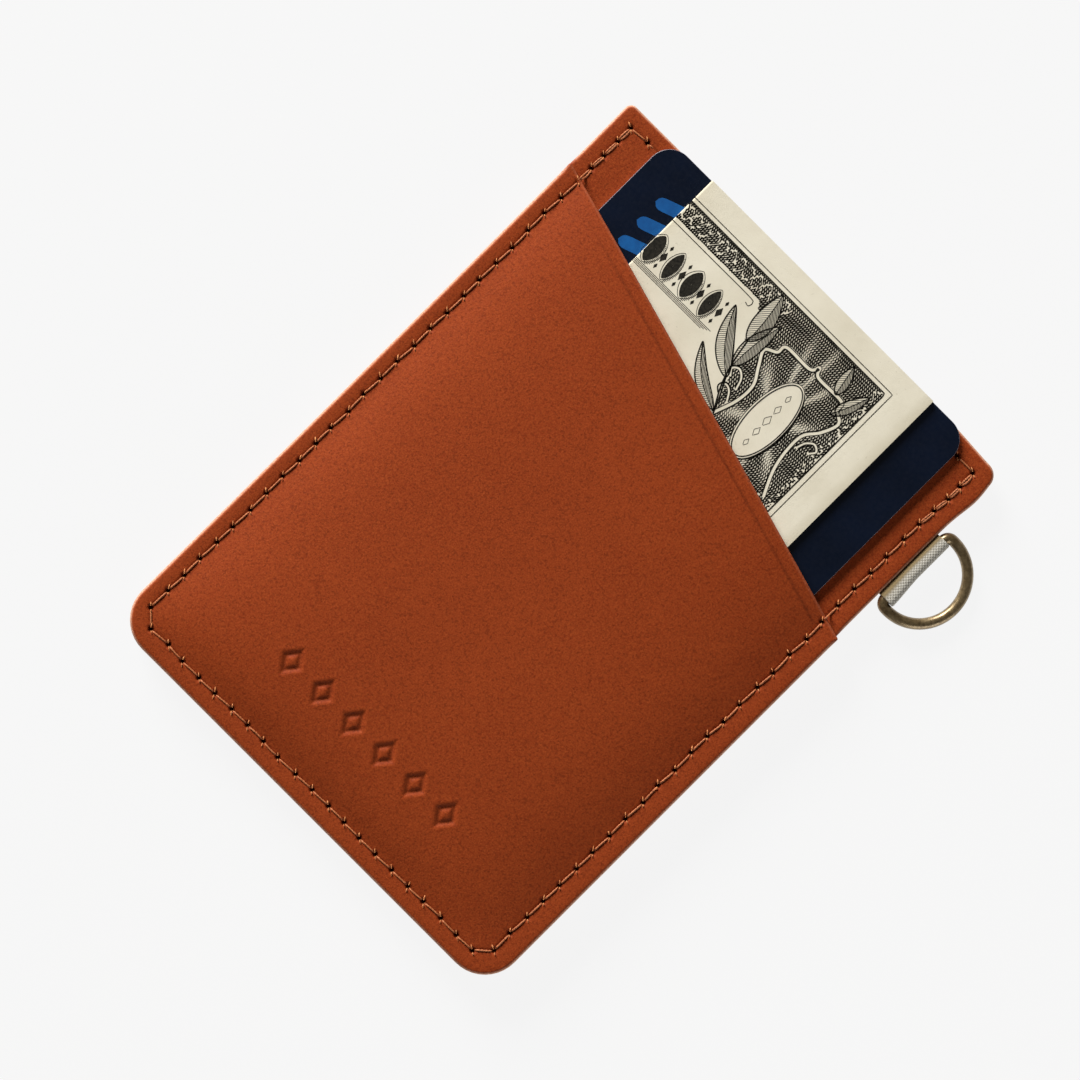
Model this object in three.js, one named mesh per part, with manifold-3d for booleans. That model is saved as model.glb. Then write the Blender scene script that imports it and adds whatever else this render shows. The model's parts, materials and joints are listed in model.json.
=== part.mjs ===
// A slim leather card wallet, lying on its back, in millimetres.
// The origin is the middle of its back face, +Z is up through the stack, +Y is towards the pocket's mouth
// and +X is towards the key ring. The stack is the same from both faces: pocket, core, core, pocket.

import * as THREE from "three";
import { mergeVertices } from "three/addons/utils/BufferGeometryUtils.js";
import Module from "manifold-3d";

// Leather panels
const WIDTH = 67;
const HEIGHT = 93.3;
const LEATHER = 1.1;
const CORE_SET_BACK = 0.35; // the core's right edge stands in from the pocket panels' right edge
const BOTTOM_RADIUS = 5.3;
const TOP_LEFT_RADIUS = 1;
const TOP_RIGHT_RADIUS = 1.6;
const MOUTH_MIDDLE = 26.27; // height of the slanted mouth on the centre line
const MOUTH_SLOPE = -0.2814;

// Stitching
const SEAM = { left: 2.35, right: 2.95, top: 2.4, bottom: 2.65 }; // distances in from the panel edges
const SEAM_CORNER = 1.95; // how much of each bottom corner one slanted stitch cuts off
const BACKTACK = 7.2; // how far the top seam runs back down both sides
const BACKTACK_OFFSET = 0.22; // each thread stands this far aside where two run together
const THREAD_RADIUS = 0.17;
const GROOVE_WIDTH = 0.7;
const GROOVE_DEPTH = 0.45;
const THREAD_STEP = 3; // one stitch

// Card, ISO ID-1 size, and its two inlays
const CARD = { width: 53.98, length: 85.6, thickness: 0.76, radius: 3.18, left: 6.9, bottom: 7.75 };
const CHIP = { width: 10.6, length: 12.2, thickness: 0.3, radius: 1.2, fromSide: 18.4, fromEnd: 9.6 };
const STRIPE = { width: 12.7, thickness: 0.1, fromSide: 4.4, inset: 0.5 };
const INLAY_GAP = 0.03;

// Paper note, folded in half twice across its length
const NOTE = { width: 39.7, length: 66.3, left: 14.45, topOverhang: 0.1 };
const PAPER = 0.11;
const PAPER_PITCH = 0.15;
const CONTENTS_GAP = 0.04; // between the core, the card, the note and the pocket

// Key ring and its tape
const RING = { wire: 1.5, height: 13.8, reach: 8.9, bend: 0.9, setOff: 1.05, split: 0.3 };
const RING_MIDDLE = 30.05; // Y of the ring's centre
const TAPE = { width: 10.6, thickness: 0.28, tail: 8.2, slack: 0.05 };
const RELIEF_GAP = 0.02;

// Six tooled lozenges near the bottom of the front pocket
const LOZENGE = { count: 6, pitch: 5.5, width: 2.8, height: 3.6, depth: 0.25, y: -34.1, x: 0.2 };

// Heights in the stack
const CORE_MIDDLE = 2 * LEATHER;
const CORE_TOP = 3 * LEATHER;
const POCKET_TOP = 4 * LEATHER;
const NOTE_THICKNESS = 3 * PAPER_PITCH + PAPER;
const CARD_Z = CORE_TOP + CONTENTS_GAP;
const NOTE_Z = CARD_Z + CARD.thickness + CONTENTS_GAP;

// Panel edges and the seam's lines
const LEFT = -WIDTH / 2;
const RIGHT = WIDTH / 2;
const TOP = HEIGHT / 2;
const BOTTOM = -HEIGHT / 2;
const CORE_RIGHT = RIGHT - CORE_SET_BACK;
const seam = {
  left: LEFT + SEAM.left,
  right: RIGHT - SEAM.right,
  top: TOP - SEAM.top,
  bottom: BOTTOM + SEAM.bottom,
};
const card = { left: LEFT + CARD.left, right: LEFT + CARD.left + CARD.width, bottom: BOTTOM + CARD.bottom };
const noteTop = TOP + NOTE.topOverhang;
const note = { left: LEFT + NOTE.left, right: LEFT + NOTE.left + NOTE.width, bottom: noteTop - NOTE.length };

const wasm = await Module();
wasm.setup();

function toSolid(geometry) {
  const bare = geometry.clone();
  bare.deleteAttribute("normal");
  bare.deleteAttribute("uv");
  const merged = mergeVertices(bare, 1e-4);
  return new wasm.Manifold(
    new wasm.Mesh({
      numProp: 3,
      vertProperties: merged.attributes.position.array,
      triVerts: new Uint32Array(merged.index.array),
    }),
  );
}

function toGeometry(solid) {
  const mesh = solid.getMesh();
  const geometry = new THREE.BufferGeometry();
  geometry.setAttribute("position", new THREE.BufferAttribute(mesh.vertProperties, mesh.numProp));
  geometry.setIndex(new THREE.BufferAttribute(mesh.triVerts, 1));
  geometry.computeVertexNormals();
  return geometry;
}

function prism(shape, low, high, curveSegments = 8) {
  const settings = { depth: high - low, bevelEnabled: false, curveSegments };
  return new THREE.ExtrudeGeometry(shape, settings).translate(0, 0, low);
}

// A shape drawn in X and Z, drawn out along Y from y - width / 2 to y + width / 2.
function alongY(shape, width, y, curveSegments = 8) {
  const geometry = new THREE.ExtrudeGeometry(shape, { depth: width, bevelEnabled: false, curveSegments });
  return geometry.rotateX(Math.PI / 2).translate(0, y + width / 2, 0);
}

function mouthY(x) {
  return MOUTH_MIDDLE + MOUTH_SLOPE * x;
}

// A rectangle with its own radius at each corner: top left, top right, bottom right, bottom left.
function roundedRectangle(left, right, bottom, top, [topLeft, topRight, bottomRight, bottomLeft]) {
  const shape = new THREE.Shape();
  shape.absarc(left + bottomLeft, bottom + bottomLeft, bottomLeft, Math.PI, 1.5 * Math.PI);
  shape.absarc(right - bottomRight, bottom + bottomRight, bottomRight, 1.5 * Math.PI, 2 * Math.PI);
  shape.absarc(right - topRight, top - topRight, topRight, 0, 0.5 * Math.PI);
  shape.absarc(left + topLeft, top - topLeft, topLeft, 0.5 * Math.PI, Math.PI);
  shape.closePath();
  return shape;
}

function coreOutline() {
  const radii = [TOP_LEFT_RADIUS, TOP_RIGHT_RADIUS, BOTTOM_RADIUS, BOTTOM_RADIUS];
  return roundedRectangle(LEFT, CORE_RIGHT, BOTTOM, TOP, radii);
}

function pocketOutline() {
  const shape = new THREE.Shape();
  const r = BOTTOM_RADIUS;
  shape.moveTo(LEFT, mouthY(LEFT));
  shape.lineTo(LEFT, BOTTOM + r);
  shape.absarc(LEFT + r, BOTTOM + r, r, Math.PI, 1.5 * Math.PI);
  shape.absarc(RIGHT - r, BOTTOM + r, r, 1.5 * Math.PI, 2 * Math.PI);
  shape.lineTo(RIGHT, mouthY(RIGHT));
  shape.closePath();
  return shape;
}

// A band of one width that follows a line of points, with mitred corners.
function band(points, width) {
  const side = (sign) =>
    points.map((point, i) => {
      const before = points[Math.max(i - 1, 0)];
      const after = points[Math.min(i + 1, points.length - 1)];
      const into = point === before ? null : point.clone().sub(before).normalize();
      const out = point === after ? into : after.clone().sub(point).normalize();
      const first = into ?? out;
      const normal = new THREE.Vector2(-first.y - out.y, first.x + out.x).normalize();
      const mitre = normal.dot(new THREE.Vector2(-out.y, out.x));
      return point.clone().addScaledVector(normal, (sign * width) / 2 / mitre);
    });
  return new THREE.Shape([...side(-1), ...side(1).reverse()]);
}

// A curve that passes through its points in equal steps, with straight stretches between them.
class StraightSteps extends THREE.Curve {
  constructor(points) {
    super();
    this.points = points;
  }

  getPoint(t) {
    const at = THREE.MathUtils.clamp(t, 0, 1) * (this.points.length - 1);
    const i = Math.min(Math.floor(at), this.points.length - 2);
    return this.points[i].clone().lerp(this.points[i + 1], at - i);
  }

  getPointAt(u) {
    return this.getPoint(u);
  }

  getTangentAt(u) {
    return this.getTangent(u);
  }
}

function tube(points, radius, sides) {
  const section = new THREE.Shape();
  section.absarc(0, 0, radius, 0, 2 * Math.PI);
  const extrudePath = new StraightSteps(points);
  return new THREE.ExtrudeGeometry(section, { extrudePath, steps: points.length - 1, curveSegments: sides });
}

// The main seam in plan, from the left backtack down, across the bottom and up to the right one.
function mainSeamLine() {
  const top = seam.top - 2.5 * THREAD_RADIUS;
  const backtack = seam.top - BACKTACK;
  const joined = backtack - 1;
  return [
    [seam.left + BACKTACK_OFFSET, top],
    [seam.left + BACKTACK_OFFSET, backtack],
    [seam.left, joined],
    [seam.left, seam.bottom + SEAM_CORNER],
    [seam.left + SEAM_CORNER, seam.bottom],
    [seam.right - SEAM_CORNER, seam.bottom],
    [seam.right, seam.bottom + SEAM_CORNER],
    [seam.right, joined],
    [seam.right - BACKTACK_OFFSET, backtack],
    [seam.right - BACKTACK_OFFSET, top],
  ].map(([x, y]) => new THREE.Vector2(x, y));
}

// The top seam in plan, up from the left backtack's end, across the top and down the right side.
function topSeamLine() {
  const left = seam.left - BACKTACK_OFFSET;
  const right = seam.right + BACKTACK_OFFSET;
  const low = seam.top - BACKTACK;
  const cut = 0.4;
  return [
    [left, low],
    [left, seam.top - cut],
    [left + cut, seam.top],
    [right - cut, seam.top],
    [right, seam.top - cut],
    [right, low],
  ].map(([x, y]) => new THREE.Vector2(x, y));
}

// Where a thread's middle runs: in the groove of the pocket panel, or of the core above the mouth.
const THREAD_RISE = GROOVE_DEPTH - THREAD_RADIUS - 0.03;
const STEP_CLEAR = 0.25;
const STEP_RUN = 1.4;
const HIGH = POCKET_TOP - THREAD_RISE;
const LOW = CORE_TOP - THREAD_RISE;

// The heights of a line in plan, with a point added each side of the mouth where it steps.
function onFront(line) {
  const points = [];
  line.forEach((point, i) => {
    const next = line[i + 1];
    const isAbove = point.y > mouthY(point.x);
    points.push(new THREE.Vector3(point.x, point.y, isAbove ? LOW : HIGH));
    if (!next) return;
    const nextAbove = next.y > mouthY(next.x);
    const count = Math.max(1, Math.floor(point.distanceTo(next) / (4 * THREAD_STEP)));
    const stops = [];
    for (let k = 1; k < count; k++) stops.push(point.clone().lerp(next, k / count));
    const edge = mouthY(point.x);
    const isClear = (p) => isAbove === nextAbove || Math.abs(p.y - edge) > 2 * STEP_RUN;
    const kept = stops
      .filter(isClear)
      .map((p) => new THREE.Vector3(p.x, p.y, p.y > mouthY(p.x) ? LOW : HIGH));
    if (isAbove !== nextAbove) {
      kept.push(new THREE.Vector3(point.x, edge + STEP_RUN, LOW));
      kept.push(new THREE.Vector3(point.x, edge + STEP_CLEAR, HIGH));
    }
    kept.sort((a, b) => point.distanceTo(a) - point.distanceTo(b));
    points.push(...kept);
  });
  return points;
}

// The same line on the back, where the stack is the front's mirror image.
function onBack(line) {
  return onFront(line).map((p) => new THREE.Vector3(p.x, p.y, POCKET_TOP - p.z));
}

// The grooves of both seams, cut down from a face or up from it.
function seamGrooves(low, high) {
  const cut = (line) => toSolid(prism(band(line, GROOVE_WIDTH), low, high));
  return cut(mainSeamLine()).add(cut(topSeamLine()));
}

function tapeRelief(low, high) {
  const width = TAPE.width + 4 * RELIEF_GAP;
  const depth = TAPE.tail + 4 * RELIEF_GAP;
  const box = new THREE.BoxGeometry(depth + 1, width, high - low);
  box.translate(CORE_RIGHT + 1 - (depth + 1) / 2, RING_MIDDLE, (high + low) / 2);
  return toSolid(box);
}

function corePanel(low, high, grooveLow, grooveHigh, reliefLow, reliefHigh) {
  return toSolid(prism(coreOutline(), low, high))
    .subtract(seamGrooves(grooveLow, grooveHigh))
    .subtract(tapeRelief(reliefLow, reliefHigh));
}

function frontCorePanel() {
  const relief = CORE_MIDDLE + TAPE.thickness + RELIEF_GAP;
  const groove = CORE_TOP - GROOVE_DEPTH;
  return toGeometry(corePanel(CORE_MIDDLE, CORE_TOP, groove, CORE_TOP + 1, CORE_MIDDLE - 1, relief));
}

function backCorePanel() {
  const relief = CORE_MIDDLE - TAPE.thickness - RELIEF_GAP;
  const groove = LEATHER + GROOVE_DEPTH;
  return toGeometry(corePanel(LEATHER, CORE_MIDDLE, LEATHER - 1, groove, relief, CORE_MIDDLE + 1));
}

function backPocketPanel() {
  const panel = toSolid(prism(pocketOutline(), 0, LEATHER));
  return toGeometry(panel.subtract(seamGrooves(-1, GROOVE_DEPTH)));
}

function share(value, start, end) {
  return THREE.MathUtils.clamp((value - start) / (end - start), 0, 1);
}

// An even slope from 0 at start to 1 at end, with a rounded foot and shoulder.
function slope(value, start, end) {
  const round = 0.25;
  const t = share(value, start, end);
  const bend = (u) => u ** 2 / (2 * round * (1 - round));
  if (t < round) return bend(t);
  return t > 1 - round ? 1 - bend(1 - t) : (t - round / 2) / (1 - round);
}

// A parabola's rise from 0 at start to its level top at end.
function crown(value, start, end) {
  return 1 - (1 - share(value, start, end)) ** 2;
}

// How far the front pocket stands off the core: a slope up over the card's edges, and a crown over the note.
const SEAM_FLAT = 0.6; // the leather lies flat this far inside the seam
const CARD_LIFT = CARD.thickness + 0.16;
const CROWN_LIFT = NOTE_THICKNESS + 0.54;
const LIFTED_EARLY = 0.4; // the slope ends this far outside the card's edges
const CROWN_RUN = { left: 19, right: 11.3, bottom: 12 }; // from there to the crown's level top
const sloped = {
  left: card.left - LIFTED_EARLY,
  right: card.right + LIFTED_EARLY,
  bottom: card.bottom - LIFTED_EARLY,
};
const level = {
  left: sloped.left + CROWN_RUN.left,
  right: sloped.right - CROWN_RUN.right,
  bottom: sloped.bottom + CROWN_RUN.bottom,
};

function lift(x, y) {
  const overCard =
    slope(x, seam.left + SEAM_FLAT, sloped.left) *
    slope(x, seam.right - SEAM_FLAT, sloped.right) *
    slope(y, seam.bottom + SEAM_FLAT, sloped.bottom);
  const overNote =
    crown(x, sloped.left, level.left) *
    crown(x, sloped.right, level.right) *
    crown(y, sloped.bottom, level.bottom);
  return CARD_LIFT * overCard + CROWN_LIFT * overNote;
}

// Grid lines across a panel: its edge, its flat border, and even steps up the slope and the crown.
function gridLines(edge, flat, slopeEnd, crownEnd, steps) {
  const lines = [edge, flat];
  for (const [start, end] of [[flat, slopeEnd], [slopeEnd, crownEnd]]) {
    for (let i = 1; i <= steps; i++) lines.push(THREE.MathUtils.lerp(start, end, i / steps));
  }
  return lines;
}

function frontPocketPanel() {
  const margin = 1;
  const left = gridLines(LEFT - margin, seam.left + SEAM_FLAT, sloped.left, level.left, 5);
  const right = gridLines(RIGHT + margin, seam.right - SEAM_FLAT, sloped.right, level.right, 5);
  const columns = [...left, 0, ...right.reverse()];
  const bottom = gridLines(BOTTOM - margin, seam.bottom + SEAM_FLAT, sloped.bottom, level.bottom, 5);
  const rows = [...bottom, 0, mouthY(LEFT) + margin];
  const across = columns.length - 1;
  const up = rows.length - 1;
  const slab = new THREE.BoxGeometry(across, up, LEATHER, across, up, 1);
  const position = slab.attributes.position;
  for (let i = 0; i < position.count; i++) {
    const x = columns[Math.round(position.getX(i) + across / 2)];
    const y = rows[Math.round(position.getY(i) + up / 2)];
    const z = position.getZ(i) + CORE_TOP + LEATHER / 2 + lift(x, y);
    position.setXYZ(i, x, y, z);
  }
  const panel = toSolid(slab)
    .intersect(toSolid(prism(pocketOutline(), CORE_TOP - 1, POCKET_TOP + 5)))
    .subtract(seamGrooves(POCKET_TOP - GROOVE_DEPTH, POCKET_TOP + 1));
  return toGeometry(panel.subtract(lozenges()));
}

// The tooled marks: diamonds pressed into the crowned leather.
function lozenges() {
  const { count, pitch, width, height, depth } = LOZENGE;
  let all = null;
  for (let i = 0; i < count; i++) {
    const x = LOZENGE.x + (i - (count - 1) / 2) * pitch;
    const diamond = new THREE.Shape([
      new THREE.Vector2(x - width / 2, LOZENGE.y),
      new THREE.Vector2(x, LOZENGE.y - height / 2),
      new THREE.Vector2(x + width / 2, LOZENGE.y),
      new THREE.Vector2(x, LOZENGE.y + height / 2),
    ]);
    const floor = POCKET_TOP + lift(x, LOZENGE.y) - depth;
    const cutter = toSolid(prism(diamond, floor, floor + 2));
    all = all ? all.add(cutter) : cutter;
  }
  return all;
}

// One tube from the end of the ring's bar, round its bow and back, split in the middle of the bar.
function dRing() {
  const radius = RING.wire / 2;
  const bow = RING.height / 2 - radius;
  const far = RING.reach - 2 * radius;
  const bowCentre = far - bow;
  const cornerY = Math.sqrt((bow - RING.bend) ** 2 - (RING.bend - bowCentre) ** 2);
  const turn = Math.atan2(cornerY, RING.bend - bowCentre);
  const half = [new THREE.Vector3(0, RING.split / 2, 0), new THREE.Vector3(0, cornerY / 2, 0)];
  const cornerSteps = 5;
  for (let i = 0; i <= cornerSteps; i++) {
    const angle = THREE.MathUtils.lerp(Math.PI, turn, i / cornerSteps);
    half.push(
      new THREE.Vector3(RING.bend + RING.bend * Math.cos(angle), cornerY + RING.bend * Math.sin(angle), 0),
    );
  }
  const bowSteps = 12;
  for (let i = 1; i <= bowSteps; i++) {
    const angle = THREE.MathUtils.lerp(turn, 0, i / bowSteps);
    half.push(new THREE.Vector3(bowCentre + bow * Math.cos(angle), bow * Math.sin(angle), 0));
  }
  const mirrored = half.slice(0, -1).reverse();
  const points = [...half, ...mirrored.map((p) => new THREE.Vector3(p.x, -p.y, p.z))];
  return tube(points, radius, 10);
}

// The tape in section: two tails lying together, and an eye round the ring's bar.
function ringTape() {
  const { width, thickness, tail, slack } = TAPE;
  const bore = RING.wire / 2 + slack;
  const outer = bore + thickness;
  const tangent = Math.PI - Math.acos(outer / (RING.setOff + outer));
  const shape = new THREE.Shape();
  shape.moveTo(-RING.setOff - tail, -thickness);
  shape.lineTo(-RING.setOff, -thickness);
  shape.absarc(0, 0, outer, -tangent, tangent);
  shape.lineTo(-RING.setOff, thickness);
  shape.lineTo(-RING.setOff - tail, thickness);
  shape.closePath();
  const eye = new THREE.Path();
  eye.absarc(0, 0, bore, 0, 2 * Math.PI);
  shape.holes.push(eye);
  return alongY(shape, width, 0, 24);
}

function cardOutline() {
  const top = card.bottom + CARD.length;
  return roundedRectangle(card.left, card.right, card.bottom, top, Array(4).fill(CARD.radius));
}

function chipOutline(grow) {
  const left = card.left + CHIP.fromSide - grow;
  const bottom = card.bottom + CHIP.fromEnd - grow;
  const radii = Array(4).fill(CHIP.radius);
  return roundedRectangle(left, left + CHIP.width + 2 * grow, bottom, bottom + CHIP.length + 2 * grow, radii);
}

function stripeBox(grow, low, high) {
  const length = CARD.length - 2 * STRIPE.inset + 2 * grow;
  const box = new THREE.BoxGeometry(STRIPE.width + 2 * grow, length, high - low);
  const x = card.left + STRIPE.fromSide + STRIPE.width / 2;
  return box.translate(x, card.bottom + CARD.length / 2, (low + high) / 2);
}

function cardBody() {
  const top = CARD_Z + CARD.thickness;
  const chipSeat = toSolid(prism(chipOutline(INLAY_GAP), top - CHIP.thickness - INLAY_GAP, top + 1));
  const stripeSeat = toSolid(stripeBox(INLAY_GAP, CARD_Z - 1, CARD_Z + STRIPE.thickness + INLAY_GAP));
  return toGeometry(toSolid(prism(cardOutline(), CARD_Z, top)).subtract(chipSeat).subtract(stripeSeat));
}

function cardChip() {
  const top = CARD_Z + CARD.thickness;
  return prism(chipOutline(0), top - CHIP.thickness, top);
}

function cardStripe() {
  return stripeBox(0, CARD_Z, CARD_Z + STRIPE.thickness);
}

// One strip of paper in section, folded in half twice: an outer fold, a centre fold and a nested fold.
function foldedNote() {
  const pitch = PAPER_PITCH;
  const bottom = NOTE_Z + PAPER / 2;
  const outerFold = 1.5 * pitch;
  const leftBend = note.left + PAPER / 2 + outerFold;
  const rightBend = note.right - PAPER / 2 - pitch / 2;
  const foldSteps = 8;
  const middle = [new THREE.Vector2(note.right, bottom + 3 * pitch)];
  const fold = (x, z, radius, from, to) => {
    for (let i = 0; i <= foldSteps; i++) {
      const angle = THREE.MathUtils.lerp(from, to, i / foldSteps);
      middle.push(new THREE.Vector2(x + radius * Math.cos(angle), z + radius * Math.sin(angle)));
    }
  };
  fold(leftBend, bottom + outerFold, outerFold, Math.PI / 2, 1.5 * Math.PI);
  fold(rightBend, bottom + pitch / 2, pitch / 2, -Math.PI / 2, Math.PI / 2);
  fold(leftBend, bottom + 1.5 * pitch, pitch / 2, 1.5 * Math.PI, Math.PI / 2);
  middle.push(new THREE.Vector2(note.right, bottom + 2 * pitch));
  return alongY(band(middle, PAPER), NOTE.length, noteTop - NOTE.length / 2);
}

const finishes = {
  leather: { color: 0x8f3f1e, roughness: 0.6, metalness: 0 },
  tape: { color: 0xb9b4a4, roughness: 0.9, metalness: 0 },
  thread: { color: 0xa8623a, roughness: 0.8, metalness: 0 },
  brass: { color: 0x6d5a3c, roughness: 0.35, metalness: 1 },
  card: { color: 0x0e1626, roughness: 0.3, metalness: 0 },
  gold: { color: 0xc9a75a, roughness: 0.3, metalness: 1 },
  stripe: { color: 0x18181a, roughness: 0.4, metalness: 0 },
  paper: { color: 0xdcd4be, roughness: 0.9, metalness: 0 },
};

const wallet = new THREE.Group();

function addPart(name, geometry, finish, parent = wallet) {
  const mesh = new THREE.Mesh(geometry, new THREE.MeshStandardMaterial(finishes[finish]));
  mesh.name = name;
  parent.add(mesh);
  return mesh;
}

addPart("back_pocket_panel", backPocketPanel(), "leather");
addPart("back_core_panel", backCorePanel(), "leather");
addPart("front_core_panel", frontCorePanel(), "leather");
addPart("front_pocket_panel", frontPocketPanel(), "leather");
addPart("main_seam_needle_thread", tube(onFront(mainSeamLine()), THREAD_RADIUS, 6), "thread");
addPart("main_seam_bobbin_thread", tube(onBack(mainSeamLine()), THREAD_RADIUS, 6), "thread");
addPart("top_seam_needle_thread", tube(onFront(topSeamLine()), THREAD_RADIUS, 6), "thread");
addPart("top_seam_bobbin_thread", tube(onBack(topSeamLine()), THREAD_RADIUS, 6), "thread");
addPart("card_body", cardBody(), "card");
addPart("card_chip", cardChip(), "gold");
addPart("card_magnetic_stripe", cardStripe(), "stripe");
addPart("folded_note", foldedNote(), "paper");

// The ring's bar lies in the tape's eye, and its bow leans down until it rests where the back face does.
const eye = new THREE.Group();
eye.position.set(CORE_RIGHT + RING.setOff, RING_MIDDLE, CORE_MIDDLE);
wallet.add(eye);
addPart("ring_tape", ringTape(), "tape", eye);
const restDrop = CORE_MIDDLE - RING.wire / 2 - 0.03;
const ring = addPart("d_ring", dRing(), "brass", eye);
ring.rotation.y = Math.asin(restDrop / (RING.reach - RING.wire));

export default wallet;
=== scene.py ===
"""The looks of a slim leather card wallet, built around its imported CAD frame.

Lengths in this script are millimetres, turned into metres where a mesh, a light or a material takes them.
The wallet lies on its back: X runs across it, Y up to its mouth and Z up through its layers.
"""

import json
import math

import bpy
import numpy as np
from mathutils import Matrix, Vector
from mathutils.geometry import delaunay_2d_cdt


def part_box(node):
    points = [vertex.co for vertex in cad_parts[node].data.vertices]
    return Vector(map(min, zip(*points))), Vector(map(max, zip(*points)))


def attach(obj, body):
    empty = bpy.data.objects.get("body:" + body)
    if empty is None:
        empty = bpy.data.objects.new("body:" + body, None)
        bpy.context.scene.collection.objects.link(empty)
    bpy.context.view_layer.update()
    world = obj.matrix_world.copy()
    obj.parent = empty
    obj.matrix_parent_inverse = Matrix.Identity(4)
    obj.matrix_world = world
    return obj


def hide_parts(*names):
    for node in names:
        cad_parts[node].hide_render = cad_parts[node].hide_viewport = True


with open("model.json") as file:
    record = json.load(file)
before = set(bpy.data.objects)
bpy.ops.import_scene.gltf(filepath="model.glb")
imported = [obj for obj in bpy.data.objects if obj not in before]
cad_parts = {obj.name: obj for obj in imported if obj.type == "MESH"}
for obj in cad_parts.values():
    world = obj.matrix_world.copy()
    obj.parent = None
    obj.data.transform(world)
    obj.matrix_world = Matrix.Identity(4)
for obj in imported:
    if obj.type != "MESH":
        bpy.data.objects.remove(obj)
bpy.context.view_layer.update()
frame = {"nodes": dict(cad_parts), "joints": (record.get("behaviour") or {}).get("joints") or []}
MM = 0.001


# ---------------------------------------------------------------- sizes, from the frame
def box_mm(node):
    low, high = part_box(node)
    return np.array(low) / MM, np.array(high) / MM


def highest_at(node, x):
    """The highest Y of a CAD node's vertices on the line at x."""
    points = [v.co / MM for v in frame["nodes"][node].data.vertices]
    return max(p.y for p in points if abs(p.x - x) < 0.01)


pocket_low, pocket_high = box_mm("back_pocket_panel")
core_low, core_high = box_mm("front_core_panel")
seam_low, seam_high = box_mm("main_seam_needle_thread")
top_seam_high = box_mm("top_seam_needle_thread")[1]
card_low, card_high = box_mm("card_body")
chip_low, chip_high = box_mm("card_chip")
stripe_low, stripe_high = box_mm("card_magnetic_stripe")
note_low, note_high = box_mm("folded_note")
tape_low, tape_high = box_mm("ring_tape")
ring_low, ring_high = box_mm("d_ring")
hinge = next(j for j in frame["joints"] if j["name"] == "ring_hinge")
bar = np.array(hinge["pos_m"]) / MM

LEATHER = pocket_high[2]
CORE_MIDDLE, CORE_TOP = core_low[2], core_high[2]
POCKET_TOP = CORE_TOP + LEATHER
LEFT, RIGHT, CORE_RIGHT = pocket_low[0], pocket_high[0], core_high[0]
BOTTOM, TOP = core_low[1], core_high[1]
HEIGHT = TOP - BOTTOM
CAD_THREAD_RADIUS = 0.17
SEAM_LEFT = seam_low[0] + CAD_THREAD_RADIUS
SEAM_RIGHT = seam_high[0] - CAD_THREAD_RADIUS
SEAM_BOTTOM = seam_low[1] + CAD_THREAD_RADIUS
SEAM_TOP = top_seam_high[1] - CAD_THREAD_RADIUS
MOUTH_LEFT = highest_at("back_pocket_panel", LEFT)
MOUTH_RIGHT = highest_at("back_pocket_panel", RIGHT)
MOUTH_SLOPE = (MOUTH_RIGHT - MOUTH_LEFT) / (RIGHT - LEFT)

BOTTOM_RADIUS = 5.3
TOP_LEFT_RADIUS = 1.0
TOP_RIGHT_RADIUS = 1.6
SEAM_CORNER = 1.95


def mouth_y(x):
    return MOUTH_LEFT + MOUTH_SLOPE * (x - LEFT)


# ---------------------------------------------------------------- small tools
def smooth(t):
    t = np.clip(t, 0.0, 1.0)
    return t * t * (3 - 2 * t)


def ramp(value, start, end):
    """0 at start, 1 at end, smooth between."""
    return smooth((value - start) / (end - start))


def bell(distance, width):
    return np.exp(-((distance / width) ** 2))


def along(points, spacing):
    """Points about a spacing apart along a line of points."""
    points = np.asarray(points, float)
    steps = np.linalg.norm(np.diff(points, axis=0), axis=1)
    at = np.concatenate([[0], np.cumsum(steps)])
    count = max(2, int(round(at[-1] / spacing)) + 1)
    wanted = np.linspace(0, at[-1], count)
    return np.stack([np.interp(wanted, at, points[:, k]) for k in range(points.shape[1])], axis=1)


def unit_tangents(points):
    """The direction of a line of points at each of them."""
    tangent = np.gradient(points, axis=0)
    return tangent / np.linalg.norm(tangent, axis=1)[:, None]


def distance_to_line(xy, line):
    """How far each point is from a line of points."""
    best = np.full(len(xy), 1e9)
    for a, b in zip(line[:-1], line[1:]):
        d = b - a
        t = np.clip(((xy - a) @ d) / (d @ d), 0, 1)
        best = np.minimum(best, np.linalg.norm(xy - a - t[:, None] * d, axis=1))
    return best


def worn(xy):
    """The hand-cut outline: a slack left edge, a drooping top right corner and a flared right edge."""
    x, y = xy[:, 0].copy(), xy[:, 1].copy()
    slack = 0.2 * np.sin(np.pi * np.clip((y - BOTTOM) / HEIGHT, 0, 1)) * (1 - ramp(x, LEFT, LEFT + 7))
    droop = 0.45 * ramp(x, RIGHT - 10, RIGHT) * ramp(y, TOP - 9, TOP)
    flare = 0.5 * bell(y - (TOP - 4.6), 3.4) * ramp(x, RIGHT - 7, RIGHT)
    return np.stack([x + slack + flare, y - droop], axis=1)


def make_object(name, points, faces, material, body, replaces=(), masks=None, is_worn=False):
    """One smooth-shaded mesh piece from points in millimetres, riding on a body."""
    points = np.array(points, float)
    if is_worn:
        points[:, :2] = worn(points[:, :2])
    mesh = bpy.data.meshes.new(name)
    mesh.from_pydata((points * MM).tolist(), [], [list(map(int, f)) for f in faces])
    mesh.shade_smooth()
    for mask, values in (masks or {}).items():
        attribute = mesh.attributes.new(mask, "FLOAT", "POINT")
        attribute.data.foreach_set("value", np.asarray(values, np.float32))
    mesh.materials.append(material)
    piece = bpy.data.objects.new(name, mesh)
    bpy.context.scene.collection.objects.link(piece)
    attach(piece, body)
    if replaces:
        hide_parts(*replaces)
    return piece


def sharpen(piece, degrees=35):
    """Creases where a piece's faces meet at more than an angle."""
    piece.data.set_sharp_from_angle(angle=math.radians(degrees))


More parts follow.
